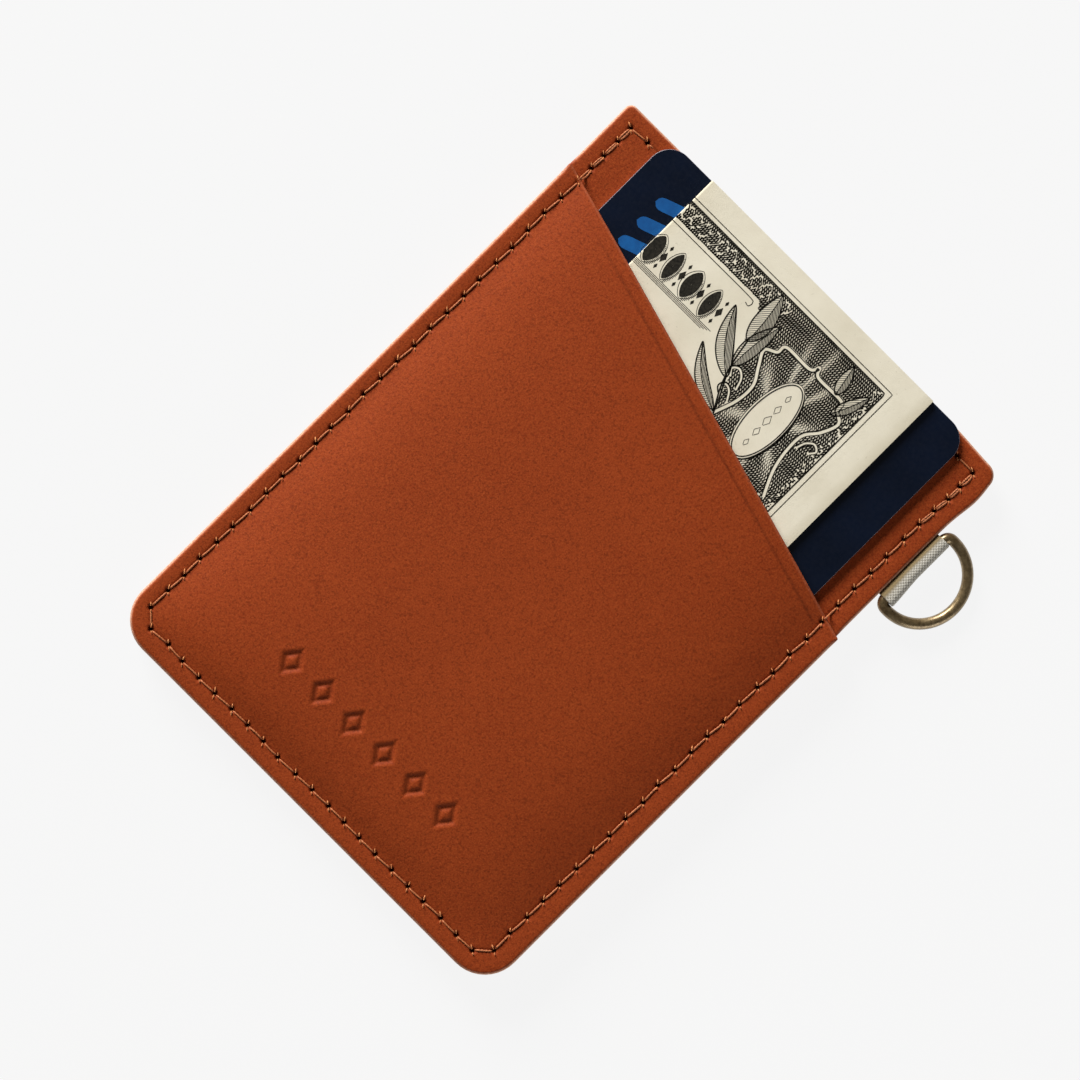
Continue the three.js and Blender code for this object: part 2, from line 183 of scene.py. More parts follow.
def grid_faces(rows, columns, closed_rows=False, closed_columns=False, offset=0):
    """Quads of a grid of points, row by row, that may close on itself either way."""
    faces = []
    for i in range(rows if closed_rows else rows - 1):
        for j in range(columns if closed_columns else columns - 1):
            i2, j2 = (i + 1) % rows, (j + 1) % columns
            corners = (i * columns + j, i2 * columns + j, i2 * columns + j2, i * columns + j2)
            faces.append([offset + c for c in corners])
    return faces


def sheet_faces(rows, columns):
    """Faces of a thin closed sheet: a grid of points in front, the same behind, and the border."""
    count = rows * columns
    faces = grid_faces(rows, columns)
    faces += [[i + count for i in f[::-1]] for f in grid_faces(rows, columns)]
    border = [i * columns for i in range(rows)]
    border += [(rows - 1) * columns + j for j in range(1, columns)]
    border += [i * columns + columns - 1 for i in range(rows - 2, -1, -1)]
    border += [j for j in range(columns - 2, 0, -1)]
    for k, a in enumerate(border):
        b = border[(k + 1) % len(border)]
        faces.append([b, b + count, a + count, a])
    return faces


def tube_faces(tubes, stations, sides):
    """The faces of many closed tubes, each of them rings of points one after another."""
    faces = []
    for offset in range(0, tubes * stations * sides, stations * sides):
        end = offset + (stations - 1) * sides
        faces += grid_faces(stations, sides, closed_columns=True, offset=offset)
        faces.append([offset + k for k in reversed(range(sides))])
        faces.append([end + k for k in range(sides)])
    return faces


def turned_over(points, faces, sunk=0.0):
    """What is made for the wallet's front as it lies on the back, sunk into it."""
    points[:, 2] = POCKET_TOP - points[:, 2] + sunk
    return points, [f[::-1] for f in faces]


# ---------------------------------------------------------------- material nodes
class Shader:
    """A Principled material with a few short ways to add procedural nodes."""

    def __init__(self, name, **sockets):
        self.material = bpy.data.materials.new(name)
        self.material.use_nodes = True
        self.tree = self.material.node_tree
        self.bsdf = self.tree.nodes["Principled BSDF"]
        for socket, value in sockets.items():
            self.bsdf.inputs[socket.replace("_", " ")].default_value = value
        self.position = self.node("ShaderNodeTexCoord").outputs["Object"]

    def node(self, kind, **settings):
        made = self.tree.nodes.new(kind)
        for key, value in settings.items():
            setattr(made, key, value)
        return made

    def link(self, output, target):
        self.tree.links.new(output, target)

    def fill(self, target, value):
        if isinstance(value, bpy.types.NodeSocket):
            self.link(value, target)
        else:
            target.default_value = value

    def stretched(self, scale):
        mapping = self.node("ShaderNodeMapping")
        mapping.inputs["Scale"].default_value = scale
        self.link(self.position, mapping.inputs["Vector"])
        return mapping.outputs["Vector"]

    def noise(self, size_mm, detail=3.0, roughness=0.55, vector=None, distortion=0.0):
        made = self.node("ShaderNodeTexNoise")
        made.inputs["Scale"].default_value = 1 / (size_mm * MM)
        made.inputs["Detail"].default_value = detail
        made.inputs["Roughness"].default_value = roughness
        made.inputs["Distortion"].default_value = distortion
        self.link(vector or self.position, made.inputs["Vector"])
        return made.outputs["Fac"]

    def cells(self, size_mm, feature="F1", vector=None):
        made = self.node("ShaderNodeTexVoronoi", feature=feature)
        made.inputs["Scale"].default_value = 1 / (size_mm * MM)
        self.link(vector or self.position, made.inputs["Vector"])
        return made.outputs["Distance"]

    def clouds(self, size_mm, low, high, to_low=0.0, to_high=1.0, **settings):
        """A noise, its range from low to high spread over to_low to to_high."""
        return self.spread(self.noise(size_mm, **settings), low, high, to_low, to_high)

    def mask(self, name):
        return self.node("ShaderNodeAttribute", attribute_name=name).outputs["Fac"]

    def spread(self, value, low, high, to_low=0.0, to_high=1.0):
        made = self.node("ShaderNodeMapRange")
        self.fill(made.inputs["Value"], value)
        made.inputs["From Min"].default_value = low
        made.inputs["From Max"].default_value = high
        made.inputs["To Min"].default_value = to_low
        made.inputs["To Max"].default_value = to_high
        return made.outputs["Result"]

    def math(self, operation, a, b=0.0):
        made = self.node("ShaderNodeMath", operation=operation)
        self.fill(made.inputs[0], a)
        self.fill(made.inputs[1], b)
        return made.outputs["Value"]

    def blend(self, share, a, b, mode="MIX"):
        made = self.node("ShaderNodeMix", data_type="RGBA", blend_type=mode)
        self.fill(made.inputs[0], share)
        self.fill(made.inputs[6], a)
        self.fill(made.inputs[7], b)
        return made.outputs[2]

    def over(self, body, share, strength, tone):
        """A tone laid over a body colour, where share says and as strong as strength."""
        return self.blend(self.math("MULTIPLY", share, strength), body, tone)

    def color(self, value):
        self.fill(self.bsdf.inputs["Base Color"], value)

    def roughness(self, value):
        self.fill(self.bsdf.inputs["Roughness"], value)

    def bump(self, height, depth_mm, normal=None):
        made = self.node("ShaderNodeBump")
        made.inputs["Strength"].default_value = 1.0
        made.inputs["Distance"].default_value = depth_mm * MM
        self.fill(made.inputs["Height"], height)
        if normal is not None:
            self.link(normal, made.inputs["Normal"])
        self.link(made.outputs["Normal"], self.bsdf.inputs["Normal"])
        return made.outputs["Normal"]


def rgb(red, green, blue):
    """A display colour, 0 to 255, as the linear colour that nodes take."""
    channels = [c / 255 for c in (red, green, blue)]
    linear = [c / 12.92 if c <= 0.04045 else ((c + 0.055) / 1.055) ** 2.4 for c in channels]
    return (*linear, 1.0)


def leather_material():
    s = Shader("waxed_tan_leather", Roughness=0.7, Specular_IOR_Level=0.12)
    clouds = s.clouds(14, 0.3, 0.7, detail=4)
    mottle = s.clouds(1.4, 0.34, 0.66, detail=5, roughness=0.65)
    speckle = s.clouds(0.2, 0.3, 0.7, detail=2, roughness=0.6)
    pits = s.clouds(0.33, 0.52, 0.66, detail=2, roughness=0.5)
    body = s.blend(clouds, rgb(132, 47, 14), rgb(143, 55, 19))
    body = s.over(body, mottle, 0.42, rgb(118, 39, 9))
    body = s.over(body, speckle, 0.5, rgb(180, 85, 36))
    body = s.over(body, pits, 0.38, rgb(88, 28, 4))
    # Darker where the mask says: pressed leather along grooves and creases, and painted shade in the stitch
    # holes and tooled hollows.
    body = s.over(body, s.mask("press_and_shade"), 0.75, rgb(58, 18, 5))
    fibre = s.blend(s.clouds(0.25, 0.35, 0.65, detail=4), rgb(170, 114, 86), rgb(214, 164, 136))
    body = s.blend(s.mask("edge"), body, fibre)
    s.color(body)
    s.roughness(s.clouds(0.6, 0.3, 0.7, 0.6, 0.72, detail=3))
    pores = s.cells(0.42, feature="F1")
    grain = s.math("ADD", s.math("MULTIPLY", pores, 0.6), s.noise(0.22, detail=2))
    s.bump(grain, 0.024)
    return s.material


def torn_material():
    """The pale grain that an awl lifts at the ends of its slits."""
    s = Shader("torn_grain", Roughness=0.7, Specular_IOR_Level=0.2)
    s.color(s.blend(s.clouds(0.2, 0.35, 0.65, detail=3), rgb(184, 104, 58), rgb(232, 160, 102)))
    s.bump(s.noise(0.08, detail=2), 0.01)
    return s.material


def thread_material():
    s = Shader("waxed_thread", Roughness=0.6, Specular_IOR_Level=0.3)
    fibres = s.clouds(0.12, 0.35, 0.65, detail=3)
    s.color(s.blend(fibres, rgb(132, 66, 34), rgb(206, 128, 80)))
    s.bump(s.noise(0.06, detail=2), 0.01)
    return s.material


def brass_material():
    s = Shader("antique_brass", Metallic=0.7, Coat_Weight=0.6, Coat_Roughness=0.28)
    patches = s.clouds(1.8, 0.35, 0.65, detail=5, roughness=0.6)
    scuffs = s.clouds(0.35, 0.45, 0.6, detail=4, roughness=0.7)
    body = s.blend(patches, rgb(124, 102, 66), rgb(160, 139, 102))
    body = s.over(body, scuffs, 0.4, rgb(70, 52, 28))
    s.color(body)
    s.roughness(s.clouds(0.5, 0.3, 0.7, 0.3, 0.46, detail=3))
    s.bump(s.noise(0.3, detail=3), 0.004)
    return s.material


def tape_material():
    s = Shader("woven_tape", Roughness=0.85, Sheen_Weight=0.2)
    fibres = s.clouds(0.08, 0.35, 0.65, detail=3, vector=s.stretched((1, 0.25, 1)))
    body = s.blend(fibres, rgb(218, 213, 200), rgb(240, 235, 225))
    # Painted shade in the weave's hollows: darker where the yarn dips.
    body = s.blend(s.mask("press_and_shade"), body, rgb(128, 122, 106))
    # Painted shadow of the leather's edge, with an olive tint, on the tape's strip next to it.
    s.color(s.blend(s.mask("edge"), body, rgb(116, 98, 62)))
    s.bump(s.noise(0.07, detail=2), 0.01)
    return s.material


def card_material():
    s = Shader("navy_card", Roughness=0.3, Specular_IOR_Level=0.4)
    tone = s.clouds(9, 0.3, 0.7, detail=3)
    body = s.blend(tone, rgb(3, 11, 27), rgb(7, 18, 38))
    core = s.blend(s.clouds(0.3, 0.3, 0.7, detail=2), rgb(160, 156, 170), rgb(196, 192, 204))
    s.color(s.blend(s.mask("edge"), body, core))
    s.roughness(s.clouds(0.5, 0.3, 0.7, 0.26, 0.36, detail=4))
    s.bump(s.noise(0.18, detail=2), 0.003)
    return s.material


def print_material(name, dark, light, size_mm, roughness, specular):
    s = Shader(name, Roughness=roughness, Specular_IOR_Level=specular)
    s.color(s.blend(s.clouds(size_mm, 0.3, 0.7, detail=3), dark, light))
    s.bump(s.noise(0.1, detail=2), 0.004)
    return s.material


def gold_material():
    s = Shader("gold_contacts", Metallic=1.0)
    s.color(s.blend(s.clouds(1.5, 0.3, 0.7, detail=3), rgb(214, 178, 104), rgb(230, 198, 128)))
    s.roughness(s.clouds(0.4, 0.3, 0.7, 0.2, 0.34, detail=4))
    return s.material


def stripe_material():
    s = Shader("magnetic_film", Roughness=0.3)
    s.color(s.blend(s.noise(0.4, detail=4), rgb(22, 20, 20), rgb(38, 35, 34)))
    s.roughness(s.clouds(0.8, 0.3, 0.7, 0.24, 0.4, detail=4))
    return s.material


def paper_material():
    s = Shader("cotton_paper", Roughness=0.8, Specular_IOR_Level=0.25)
    clouds = s.clouds(7, 0.3, 0.7, detail=5)
    body = s.blend(clouds, rgb(223, 215, 193), rgb(236, 229, 209))
    specks = s.clouds(0.5, 0.62, 0.75, detail=5, roughness=0.7)
    body = s.over(body, specks, 0.4, rgb(168, 158, 132))
    # Painted shade along the folds.
    body = s.over(body, s.mask("press_and_shade"), 0.5, rgb(190, 180, 152))
    s.color(body)
    s.bump(s.math("ADD", s.noise(0.9, detail=5), s.noise(0.12, detail=2)), 0.02)
    return s.material


LEATHER_LOOK = leather_material()
TORN_LOOK = torn_material()
THREAD_LOOK = thread_material()
BRASS_LOOK = brass_material()
TAPE_LOOK = tape_material()
CARD_LOOK = card_material()
GOLD_LOOK = gold_material()
STRIPE_LOOK = stripe_material()
PAPER_LOOK = paper_material()
INK_LOOK = print_material("engraving_ink", rgb(26, 25, 22), rgb(52, 49, 42), 0.3, 0.85, 0.1)
BLUE_LOOK = print_material("card_print", rgb(2, 76, 140), rgb(6, 90, 158), 1.2, 0.45, 0.5)


# ---------------------------------------------------------------- rounded outlines
def straights(corners):
    """An outline's corner points, and each next straight's direction, inward direction and length."""
    points = np.array([c[:2] for c in corners])
    ahead = np.roll(points, -1, axis=0) - points
    lengths = np.linalg.norm(ahead, axis=1)
    ahead /= lengths[:, None]
    return points, ahead, np.stack([-ahead[:, 1], ahead[:, 0]], axis=1), lengths


def inset_loop(corners, inset, counts, arc_steps=10):
    """The outline of a convex shape with round corners, a distance further in, always with as many points.

    corners are (x, y, radius), anticlockwise, and counts the points on the straight after each corner.
    """
    points, ahead, inward, _ = straights(corners)
    arcs = []
    for k in range(len(corners)):
        into, out = ahead[k - 1], ahead[k]
        turn = math.acos(np.clip(into @ out, -1, 1))
        bisector = inward[k - 1] + inward[k]
        corner = points[k] + bisector * inset / (1 + into @ out)
        radius = max(corners[k][2] - inset, 0.05)
        start = corner - into * radius * math.tan(turn / 2)
        centre = start + inward[k - 1] * radius
        first = math.atan2(*(start - centre)[::-1])
        angles = first + np.linspace(0, turn, arc_steps + 1)
        arcs.append(centre + radius * np.stack([np.cos(angles), np.sin(angles)], axis=1))
    loop = []
    for k, arc in enumerate(arcs):
        following = arcs[(k + 1) % len(arcs)][0]
        share = np.linspace(0, 1, counts[k] + 2)[1:-1, None]
        loop.append(arc)
        loop.append(arc[-1] + (following - arc[-1]) * share)
    return np.concatenate(loop)


def straight_counts(corners, spacing):
    return [max(1, int(length / spacing)) for length in straights(corners)[3]]


def inside(xy, corners, margin):
    """Which points are inside the outline by at least a margin."""
    points, _, inward, _ = straights(corners)
    gaps = np.stack([(xy - points[k]) @ inward[k] for k in range(len(points))], axis=1)
    kept = gaps.min(axis=1) >= margin
    for k, (x, y, radius) in enumerate(corners):
        both = (gaps[:, k] < radius) & (gaps[:, k - 1] < radius)
        out = inward[k] + inward[k - 1]
        centre = np.array([x, y]) + out * radius / (1 + inward[k] @ inward[k - 1])
        kept &= ~both | (np.linalg.norm(xy - centre, axis=1) <= radius - margin)
    return kept


def scattered(corners, margin, levels):
    """Points inside an outline: a hexagonal grid for each level, a spacing and where it applies."""
    low = np.array([c[:2] for c in corners]).min(axis=0)
    high = np.array([c[:2] for c in corners]).max(axis=0)
    every = []
    for k, (spacing, applies) in enumerate(levels):
        rows = np.arange(low[1], high[1], spacing * math.sqrt(0.75))
        columns = np.arange(low[0], high[0], spacing)
        x, y = np.meshgrid(columns, rows)
        x = x + np.where(np.arange(len(rows))[:, None] % 2, spacing / 2, 0.0)
        xy = np.stack([x.ravel(), y.ravel()], axis=1)
        kept = inside(xy, corners, margin + 0.4 * spacing)
        xy = xy[kept]
        if applies is not None:
            xy = xy[applies(xy)]
        for _, finer in levels[k + 1 :]:
            xy = xy[~finer(xy)]
        every.append(xy)
    return np.concatenate(every)


def triangulated(loop, interior):
    """Triangles over a closed loop and the points inside it, by their numbers in the two lists together."""
    count = len(loop)
    every = np.concatenate([loop, interior])
    edges = [(i, (i + 1) % count) for i in range(count)]
    out = delaunay_2d_cdt([Vector(p) for p in every], edges, [], 1, 1e-7)
    number = [sources[0] if sources else -1 for sources in out[3]]
    return [[number[i] for i in face] for face in out[2]]


def edge_profile(rounding, low, high, steps):
    """An edge from the upper face round to the lower one: inset, level, rise from it, outward tilt.

    rounding is the upper edge's round across and down, and the lower edge's.
    """
    upper, drop, lower = rounding
    angles = [math.pi / 2 * k / steps for k in range(steps + 1)]
    profile = [(upper * (1 - math.sin(a)), high, -drop * (1 - math.cos(a)), math.sin(a)) for a in angles]
    profile += [(lower * (1 - math.cos(a)), low, lower * (1 - math.sin(a)), math.cos(a)) for a in angles]
    return profile


RAW_FROM = (0.3, 0.78)  # the sine of the edge's tilt where raw fibre starts to show, and where it shows whole


def make_panel(name, corners, low, high, rounding, detail, fine, lifts=None, flip=False, floor_detail=None):
    """A leather panel: a detailed upper face, rounded edges and a plain lower face.

    rounding is as in edge_profile. detail(xy) gives the upper face's relief and its darkening mask: pressed
    leather, and painted shade in holes and hollows.
    lifts(xy) are how far the upper and the lower face stand off their level. flip turns the panel over,
    for the back of the wallet.
    """
    upper, _, lower = rounding
    counts = straight_counts(corners, 0.3)
    arc_steps = 7
    loops, heights, edge = [], [], []
    for inset, base, rise, side in edge_profile(rounding, low, high, arc_steps):
        loop = inset_loop(corners, inset, counts)
        loops.append(loop)
        crisp = 1 - 0.7 * bell(loop[:, 1] - mouth_y(loop[:, 0]), 1.0) if base == high else 1.0
        heights.append(base + rise * crisp * np.ones(len(loop)))
        burnish = 1 - 0.9 * bell(loop[:, 1] - mouth_y(loop[:, 0]), 1.0)
        edge.append(ramp(side, *RAW_FROM) * burnish)
    count = len(loops[0])
    top_points = scattered(corners, upper, [(0.85, None), *fine])
    low_points = scattered(corners, lower, [(2.2, None)])
    if floor_detail is not None:
        low_points = scattered(corners, lower, [(2.2, None), (0.3, floor_detail[0])])
    relief, pressed_and_shaded = detail(top_points)
    loop_relief, loop_press_and_shade = detail(loops[0])
    heights[0] = heights[0] + loop_relief
    low_relief = floor_detail[1](low_points) if floor_detail is not None else np.zeros(len(low_points))
    if floor_detail is not None:
        for k in range(arc_steps + 1, len(loops)):
            heights[k] = heights[k] + floor_detail[1](loops[k])
    xy = np.concatenate([*loops, top_points, low_points])
    z = np.concatenate([*heights, high + relief, low + low_relief])
    unpressed = np.zeros(count * (len(loops) - 1))
    # The darkening mask: pressed leather, and painted shade in the stitch holes and tooled hollows.
    press_and_shade = np.concatenate([loop_press_and_shade, unpressed, pressed_and_shaded, np.zeros(len(low_points))])
    sides = np.concatenate([*edge, np.zeros(len(top_points)), np.full(len(low_points), 0.6)])
    last = (len(loops) - 1) * count
    first_top = len(loops) * count
    first_low = first_top + len(top_points)
    if lifts is not None:
        above, below = lifts(xy)
        upper_side = np.arange(len(xy)) < count * (arc_steps + 1)
        upper_side |= (np.arange(len(xy)) >= first_top) & (np.arange(len(xy)) < first_low)
        z = z + np.where(upper_side, above, below)
    faces = [
        [i if i < count else first_top + i - count for i in f] for f in triangulated(loops[0], top_points)
    ]
    faces += [
        [last + i if i < count else first_low + i - count for i in reversed(f)]
        for f in triangulated(loops[-1], low_points)
    ]
    faces += grid_faces(len(loops), count, closed_columns=True)
    points = np.column_stack([xy, z])
    if flip:
        points, faces = turned_over(points, faces)
    masks = {"press_and_shade": press_and_shade, "edge": sides}
    return make_object(name, points, faces, LEATHER_LOOK, "wallet", [name], masks, is_worn=True)


# ---------------------------------------------------------------- stitching
STITCH = 2.95
SIDE_STITCHES = 26
TACK_STITCHES = 4
BOTTOM_STITCHES = 20
TOP_STITCHES = 21
SLIT = np.array([math.sqrt(0.5), -math.sqrt(0.5)])  # the awl's slits slant down to the right


def column_holes(x, jitter):
    """Holes up one side: even stitches to the mouth, and closer ones where the seams overlap above it."""
    start = SEAM_BOTTOM + SEAM_CORNER
    joint = start + SIDE_STITCHES * STITCH
    y = [start + k * STITCH for k in range(SIDE_STITCHES + 1)]
    y += [joint + (SEAM_TOP - joint) * k / TACK_STITCHES for k in range(1, TACK_STITCHES + 1)]
    holes = np.array([[x, value] for value in y])
    holes[1:-1] += jitter.normal(0, 0.08, (len(holes) - 2, 2))
    return holes


def row_holes(y, left, right, count, jitter):
    x = np.linspace(left, right, count + 1)
    holes = np.column_stack([x, np.full(len(x), y)])
    holes[1:-1] += jitter.normal(0, 0.08, (len(holes) - 2, 2))
    return holes


jitter = np.random.default_rng(11)
left_holes = column_holes(SEAM_LEFT, jitter)
right_holes = column_holes(SEAM_RIGHT, jitter)
bottom_holes = row_holes(
    SEAM_BOTTOM, SEAM_LEFT + SEAM_CORNER, SEAM_RIGHT - SEAM_CORNER, BOTTOM_STITCHES, jitter
)
top_holes = row_holes(SEAM_TOP, SEAM_LEFT, SEAM_RIGHT, TOP_STITCHES, jitter)
main_holes = np.concatenate([left_holes[::-1], bottom_holes, right_holes])
tack = slice(-TACK_STITCHES - 1, -1)
top_seam_holes = np.concatenate([left_holes[tack], top_holes, right_holes[tack][::-1]])
all_holes = np.concatenate([main_holes, top_holes[1:-1]])
seam_lines = [main_holes, top_seam_holes]


def near_seam(reach):
    def applies(xy):
        return np.minimum(*[distance_to_line(xy, line) for line in seam_lines]) < reach

    return applies


BACK_SUNK = 0.08  # the back's stitches are pressed this much deeper, because the wallet lies on them


def seam_relief(xy, sunk=0.0):
    """Grooves under the thread, slits with raised lips, deep holes, and darkening: pressed leather, painted
    shade in the holes.
    """
    line = np.minimum(*[distance_to_line(xy, holes) for holes in seam_lines])
    relief = -(0.1 + sunk) * bell(line, 0.2 + sunk) - 0.05 * bell(line, 0.65)
    # Darker along the grooves: pressed leather, with painted shade in the groove.
    pressed_and_shaded = 0.3 * bell(line, 0.22) + 0.05 * bell(line, 0.8)
    across = np.array([SLIT[1], -SLIT[0]])
    for hole in all_holes:
        near = np.abs(xy - hole).max(axis=1) < 1.2
        offset = xy[near] - hole
        a, b = offset @ SLIT, offset @ across
        swelling = bell(a, 0.6) * bell(b, 0.4)
        pit = bell(a, 0.3) * bell(b, 0.25)
        relief[near] += 0.07 * swelling - 0.9 * pit
        # Painted shade: each hole is darkened as deep as it goes.
        pressed_and_shaded[near] += 2.0 * pit
    return relief, np.clip(pressed_and_shaded, 0, 1)


CARD_PRESS = 0.2  # the card presses the stitches behind it this deep into the core


def thread_floor(x, y, has_card):
    """The height that a thread lies at: the pocket, the core, and the slope where it steps off the pocket."""
    past = np.clip((y - mouth_y(x) - 0.05) / 0.7, 0, 1)
    floor = CORE_TOP + LEATHER * (1 - past)
    if has_card:
        covered = ramp(x, card_low[0] - 1.2, card_low[0] - 0.6)
        covered = covered * ramp(x, card_high[0] + 1.2, card_high[0] + 0.6)
        floor = floor - CARD_PRESS * covered * past
    return floor


THREAD_RADIUS = 0.118
THREAD_SIDES = 9
THREAD_IN = 0.19  # from a hole's middle to where its thread comes up
THREAD_STEPS = 19
PLY_TURN = 0.56  # length in which the three plies turn once


def stitch_points(a, b, aside, seed, has_card):
    """One stitch from hole to hole, as rings of points of a three-ply thread that dives in at both ends."""
    t = np.linspace(0, 1, THREAD_STEPS)
    ahead = (b - a) / np.linalg.norm(b - a)
    side = np.array([-ahead[1], ahead[0]])
    lean = np.sign(ahead @ SLIT) * 0.08 * SLIT + THREAD_IN * ahead
    bow = seed.normal(0, 0.03)
    xy = a + lean + (b - a - 2 * lean) * t[:, None]
    xy = xy + side * (aside * np.sin(np.pi * t) ** 0.4 + bow * np.sin(np.pi * t))[:, None]
    dive = np.abs(2 * t - 1) ** 9
    sunk = 0.05 * abs(ahead[0]) * seed.uniform(0.4, 1.6)
    z = thread_floor(xy[:, 0], xy[:, 1], has_card) - 0.01 - sunk + 0.03 * np.sin(np.pi * t) - 0.75 * dive
    centre = np.column_stack([xy, z])
    tangent = unit_tangents(centre)
    level = np.array([side[0], side[1], 0.0])
    upward = np.cross(tangent, level)
    upward /= np.linalg.norm(upward, axis=1)[:, None]
    run = t * np.linalg.norm(b - a)
    angle = np.linspace(0, 2 * np.pi, THREAD_SIDES, endpoint=False)
    phase = 2 * np.pi * run[:, None] / PLY_TURN + seed.uniform(0, 6)
    radius = THREAD_RADIUS * (1 + 0.22 * np.cos(3 * angle[None, :] - phase))
    rings = centre[:, None, :] + radius[..., None] * (
        np.cos(angle)[None, :, None] * level + np.sin(angle)[None, :, None] * upward[:, None, :]
    )
    return rings.reshape(-1, 3)


def make_seam(name, holes, asides, flip, seed_number):
    """All the stitches of one thread, each a closed tube."""
    seed = np.random.default_rng(seed_number)
    spans = zip(holes[:-1], holes[1:], asides)
    stitches = [stitch_points(a, b, aside, seed, has_card=not flip) for a, b, aside in spans]
    faces = [f[::-1] for f in tube_faces(len(stitches), THREAD_STEPS, THREAD_SIDES)]
    points = np.concatenate(stitches)
    if flip:
        points, faces = turned_over(points, faces, BACK_SUNK)
    return make_object(name, points, faces, THREAD_LOOK, "wallet", [name], is_worn=True)


LIP_STATIONS, LIP_SIDES = 6, 6


def lip_points(hole, toward, seed, has_card):
    """A raised lip of torn grain at one end of a slit: a small tapered ridge."""
    turn = seed.normal(0, 0.2)
    ahead = np.array([[math.cos(turn), -math.sin(turn)], [math.sin(turn), math.cos(turn)]]) @ (SLIT * toward)
    side = np.array([-ahead[1], ahead[0]])
    length = seed.uniform(0.4, 0.68) * (1.15 if toward < 0 else 0.9)
    t = np.linspace(0, 1, LIP_STATIONS)[:, None]
    angle = np.linspace(0, 2 * np.pi, LIP_SIDES, endpoint=False)[None, :]
    half = seed.uniform(0.07, 0.11) * np.sin(np.pi * np.clip(0.12 + 0.86 * t, 0, 1)) ** 0.7
    run = np.broadcast_to(0.2 + length * t, (LIP_STATIONS, LIP_SIDES))
    across = half * np.cos(angle)
    floor = thread_floor(*hole, has_card) + 0.03
    z = floor + 0.07 * np.sin(np.pi * t) + 0.9 * half * np.sin(angle)
    xy = hole + run[..., None] * ahead + across[..., None] * side
    return np.concatenate([xy, z[..., None]], axis=2).reshape(-1, 3)


def make_lips(name, flip, seed_number):
    """The lips of every slit on one face."""
    seed = np.random.default_rng(seed_number)
    lips = [lip_points(hole, toward, seed, has_card=not flip) for hole in all_holes for toward in (1, -1)]
    faces = tube_faces(len(lips), LIP_STATIONS, LIP_SIDES)
    points = np.concatenate(lips)
    if flip:
        points, faces = turned_over(points, faces, BACK_SUNK)
    return make_object(name, points, faces, TORN_LOOK, "wallet", is_worn=True)


make_lips("slit_lips_front", False, 21)
make_lips("slit_lips_back", True, 22)

BESIDE = 0.15  # where two threads share the holes, each lies this far aside
main_asides = [0.0] * (len(main_holes) - 1)
main_asides[:TACK_STITCHES] = [BESIDE] * TACK_STITCHES
main_asides[-TACK_STITCHES:] = [BESIDE] * TACK_STITCHES
top_asides = [0.0] * (len(top_seam_holes) - 1)
top_asides[:TACK_STITCHES] = [BESIDE] * TACK_STITCHES
top_asides[-TACK_STITCHES:] = [BESIDE] * TACK_STITCHES
for side, flip, seed_number in (("needle", False, 3), ("bobbin", True, 5)):
    make_seam(f"main_seam_{side}_thread", main_holes, main_asides, flip, seed_number)
    make_seam(f"top_seam_{side}_thread", top_seam_holes, top_asides, flip, seed_number + 1)


# ---------------------------------------------------------------- leather panels
SEAM_FLAT = 0.6
SEAM_GRIP = 0.2
CARD_LIFT = (card_high[2] - card_low[2]) + 0.16
CROWN_LIFT = (note_high[2] - note_low[2]) + 0.54
LIFTED_EARLY = 0.4
CROWN_LEFT, CROWN_RIGHT, CROWN_BOTTOM = 19.0, 11.3, 12.0  # from the card's edges to the crown's level top
CREASE_IN = 1.75  # the creased line runs this far inside the mouth's edge
MARK_Y, MARK_PITCH, MARK_X, MARK_COUNT = -34.1, 5.5, 0.2, 6
MARK_WIDTH, MARK_HEIGHT = 2.8, 3.6
MARK_STROKE = 0.3


def slope(value, start, end):
    """An even slope from 0 at start to 1 at end, with a rounded foot and shoulder."""
    bend = 0.25
    t = np.clip((value - start) / (end - start), 0, 1)
    low = np.minimum(t, 1 - t)
    part = np.where(low < bend, low**2 / (2 * bend * (1 - bend)), (low - bend / 2) / (1 - bend))
    return np.where(t < 0.5, part, 1 - part)


def crown(value, start, run):
    """A parabola's rise from 0 at start to its level top a run away."""
    return 1 - (1 - np.clip((value - start) / run, 0, 1)) ** 2


def lining_lift(xy):
    """How far the pocket's lower face stands off the core: slopes at the card, a crown over the note."""
    x, y = xy[:, 0], xy[:, 1]
    left, right = card_low[0] - LIFTED_EARLY, card_high[0] + LIFTED_EARLY
    bottom = card_low[1] - LIFTED_EARLY
    over_card = (
        slope(x, SEAM_LEFT + SEAM_FLAT, left)
        * slope(x, SEAM_RIGHT - SEAM_FLAT, right)
        * slope(y, SEAM_BOTTOM + SEAM_FLAT, bottom)
    )
    over_note = crown(x, left, CROWN_LEFT) * crown(x, right, -CROWN_RIGHT) * crown(y, bottom, CROWN_BOTTOM)
    return CARD_LIFT * over_card + CROWN_LIFT * over_note


PILLOW = 2.1  # the height that the pocket's upper face swells towards, far from its seams
PILLOW_LEFT, PILLOW_RIGHT, PILLOW_BOTTOM = 7.2, 8.4, 4.0  # how quickly it swells away from each seam
PILLOW_FOOT = 0.5


def swell(distance, reach):
    """A rise away from a seam that starts level, is steepest close by and flattens out."""
    distance = np.maximum(distance, 0)
    past_foot = distance - PILLOW_FOOT * (1 - np.exp(-distance / PILLOW_FOOT))
    return 1 - np.exp(-past_foot / reach)


def pocket_lifts(xy):
    """The front pocket's two faces: thick leather rounds off what is under it."""
    x, y = xy[:, 0], xy[:, 1]
    pillow = (
        swell(x - SEAM_LEFT - SEAM_GRIP, PILLOW_LEFT)
        * swell(SEAM_RIGHT - SEAM_GRIP - x, PILLOW_RIGHT)
        * swell(y - SEAM_BOTTOM - SEAM_GRIP, PILLOW_BOTTOM)
    )
    return PILLOW * pillow, lining_lift(xy)


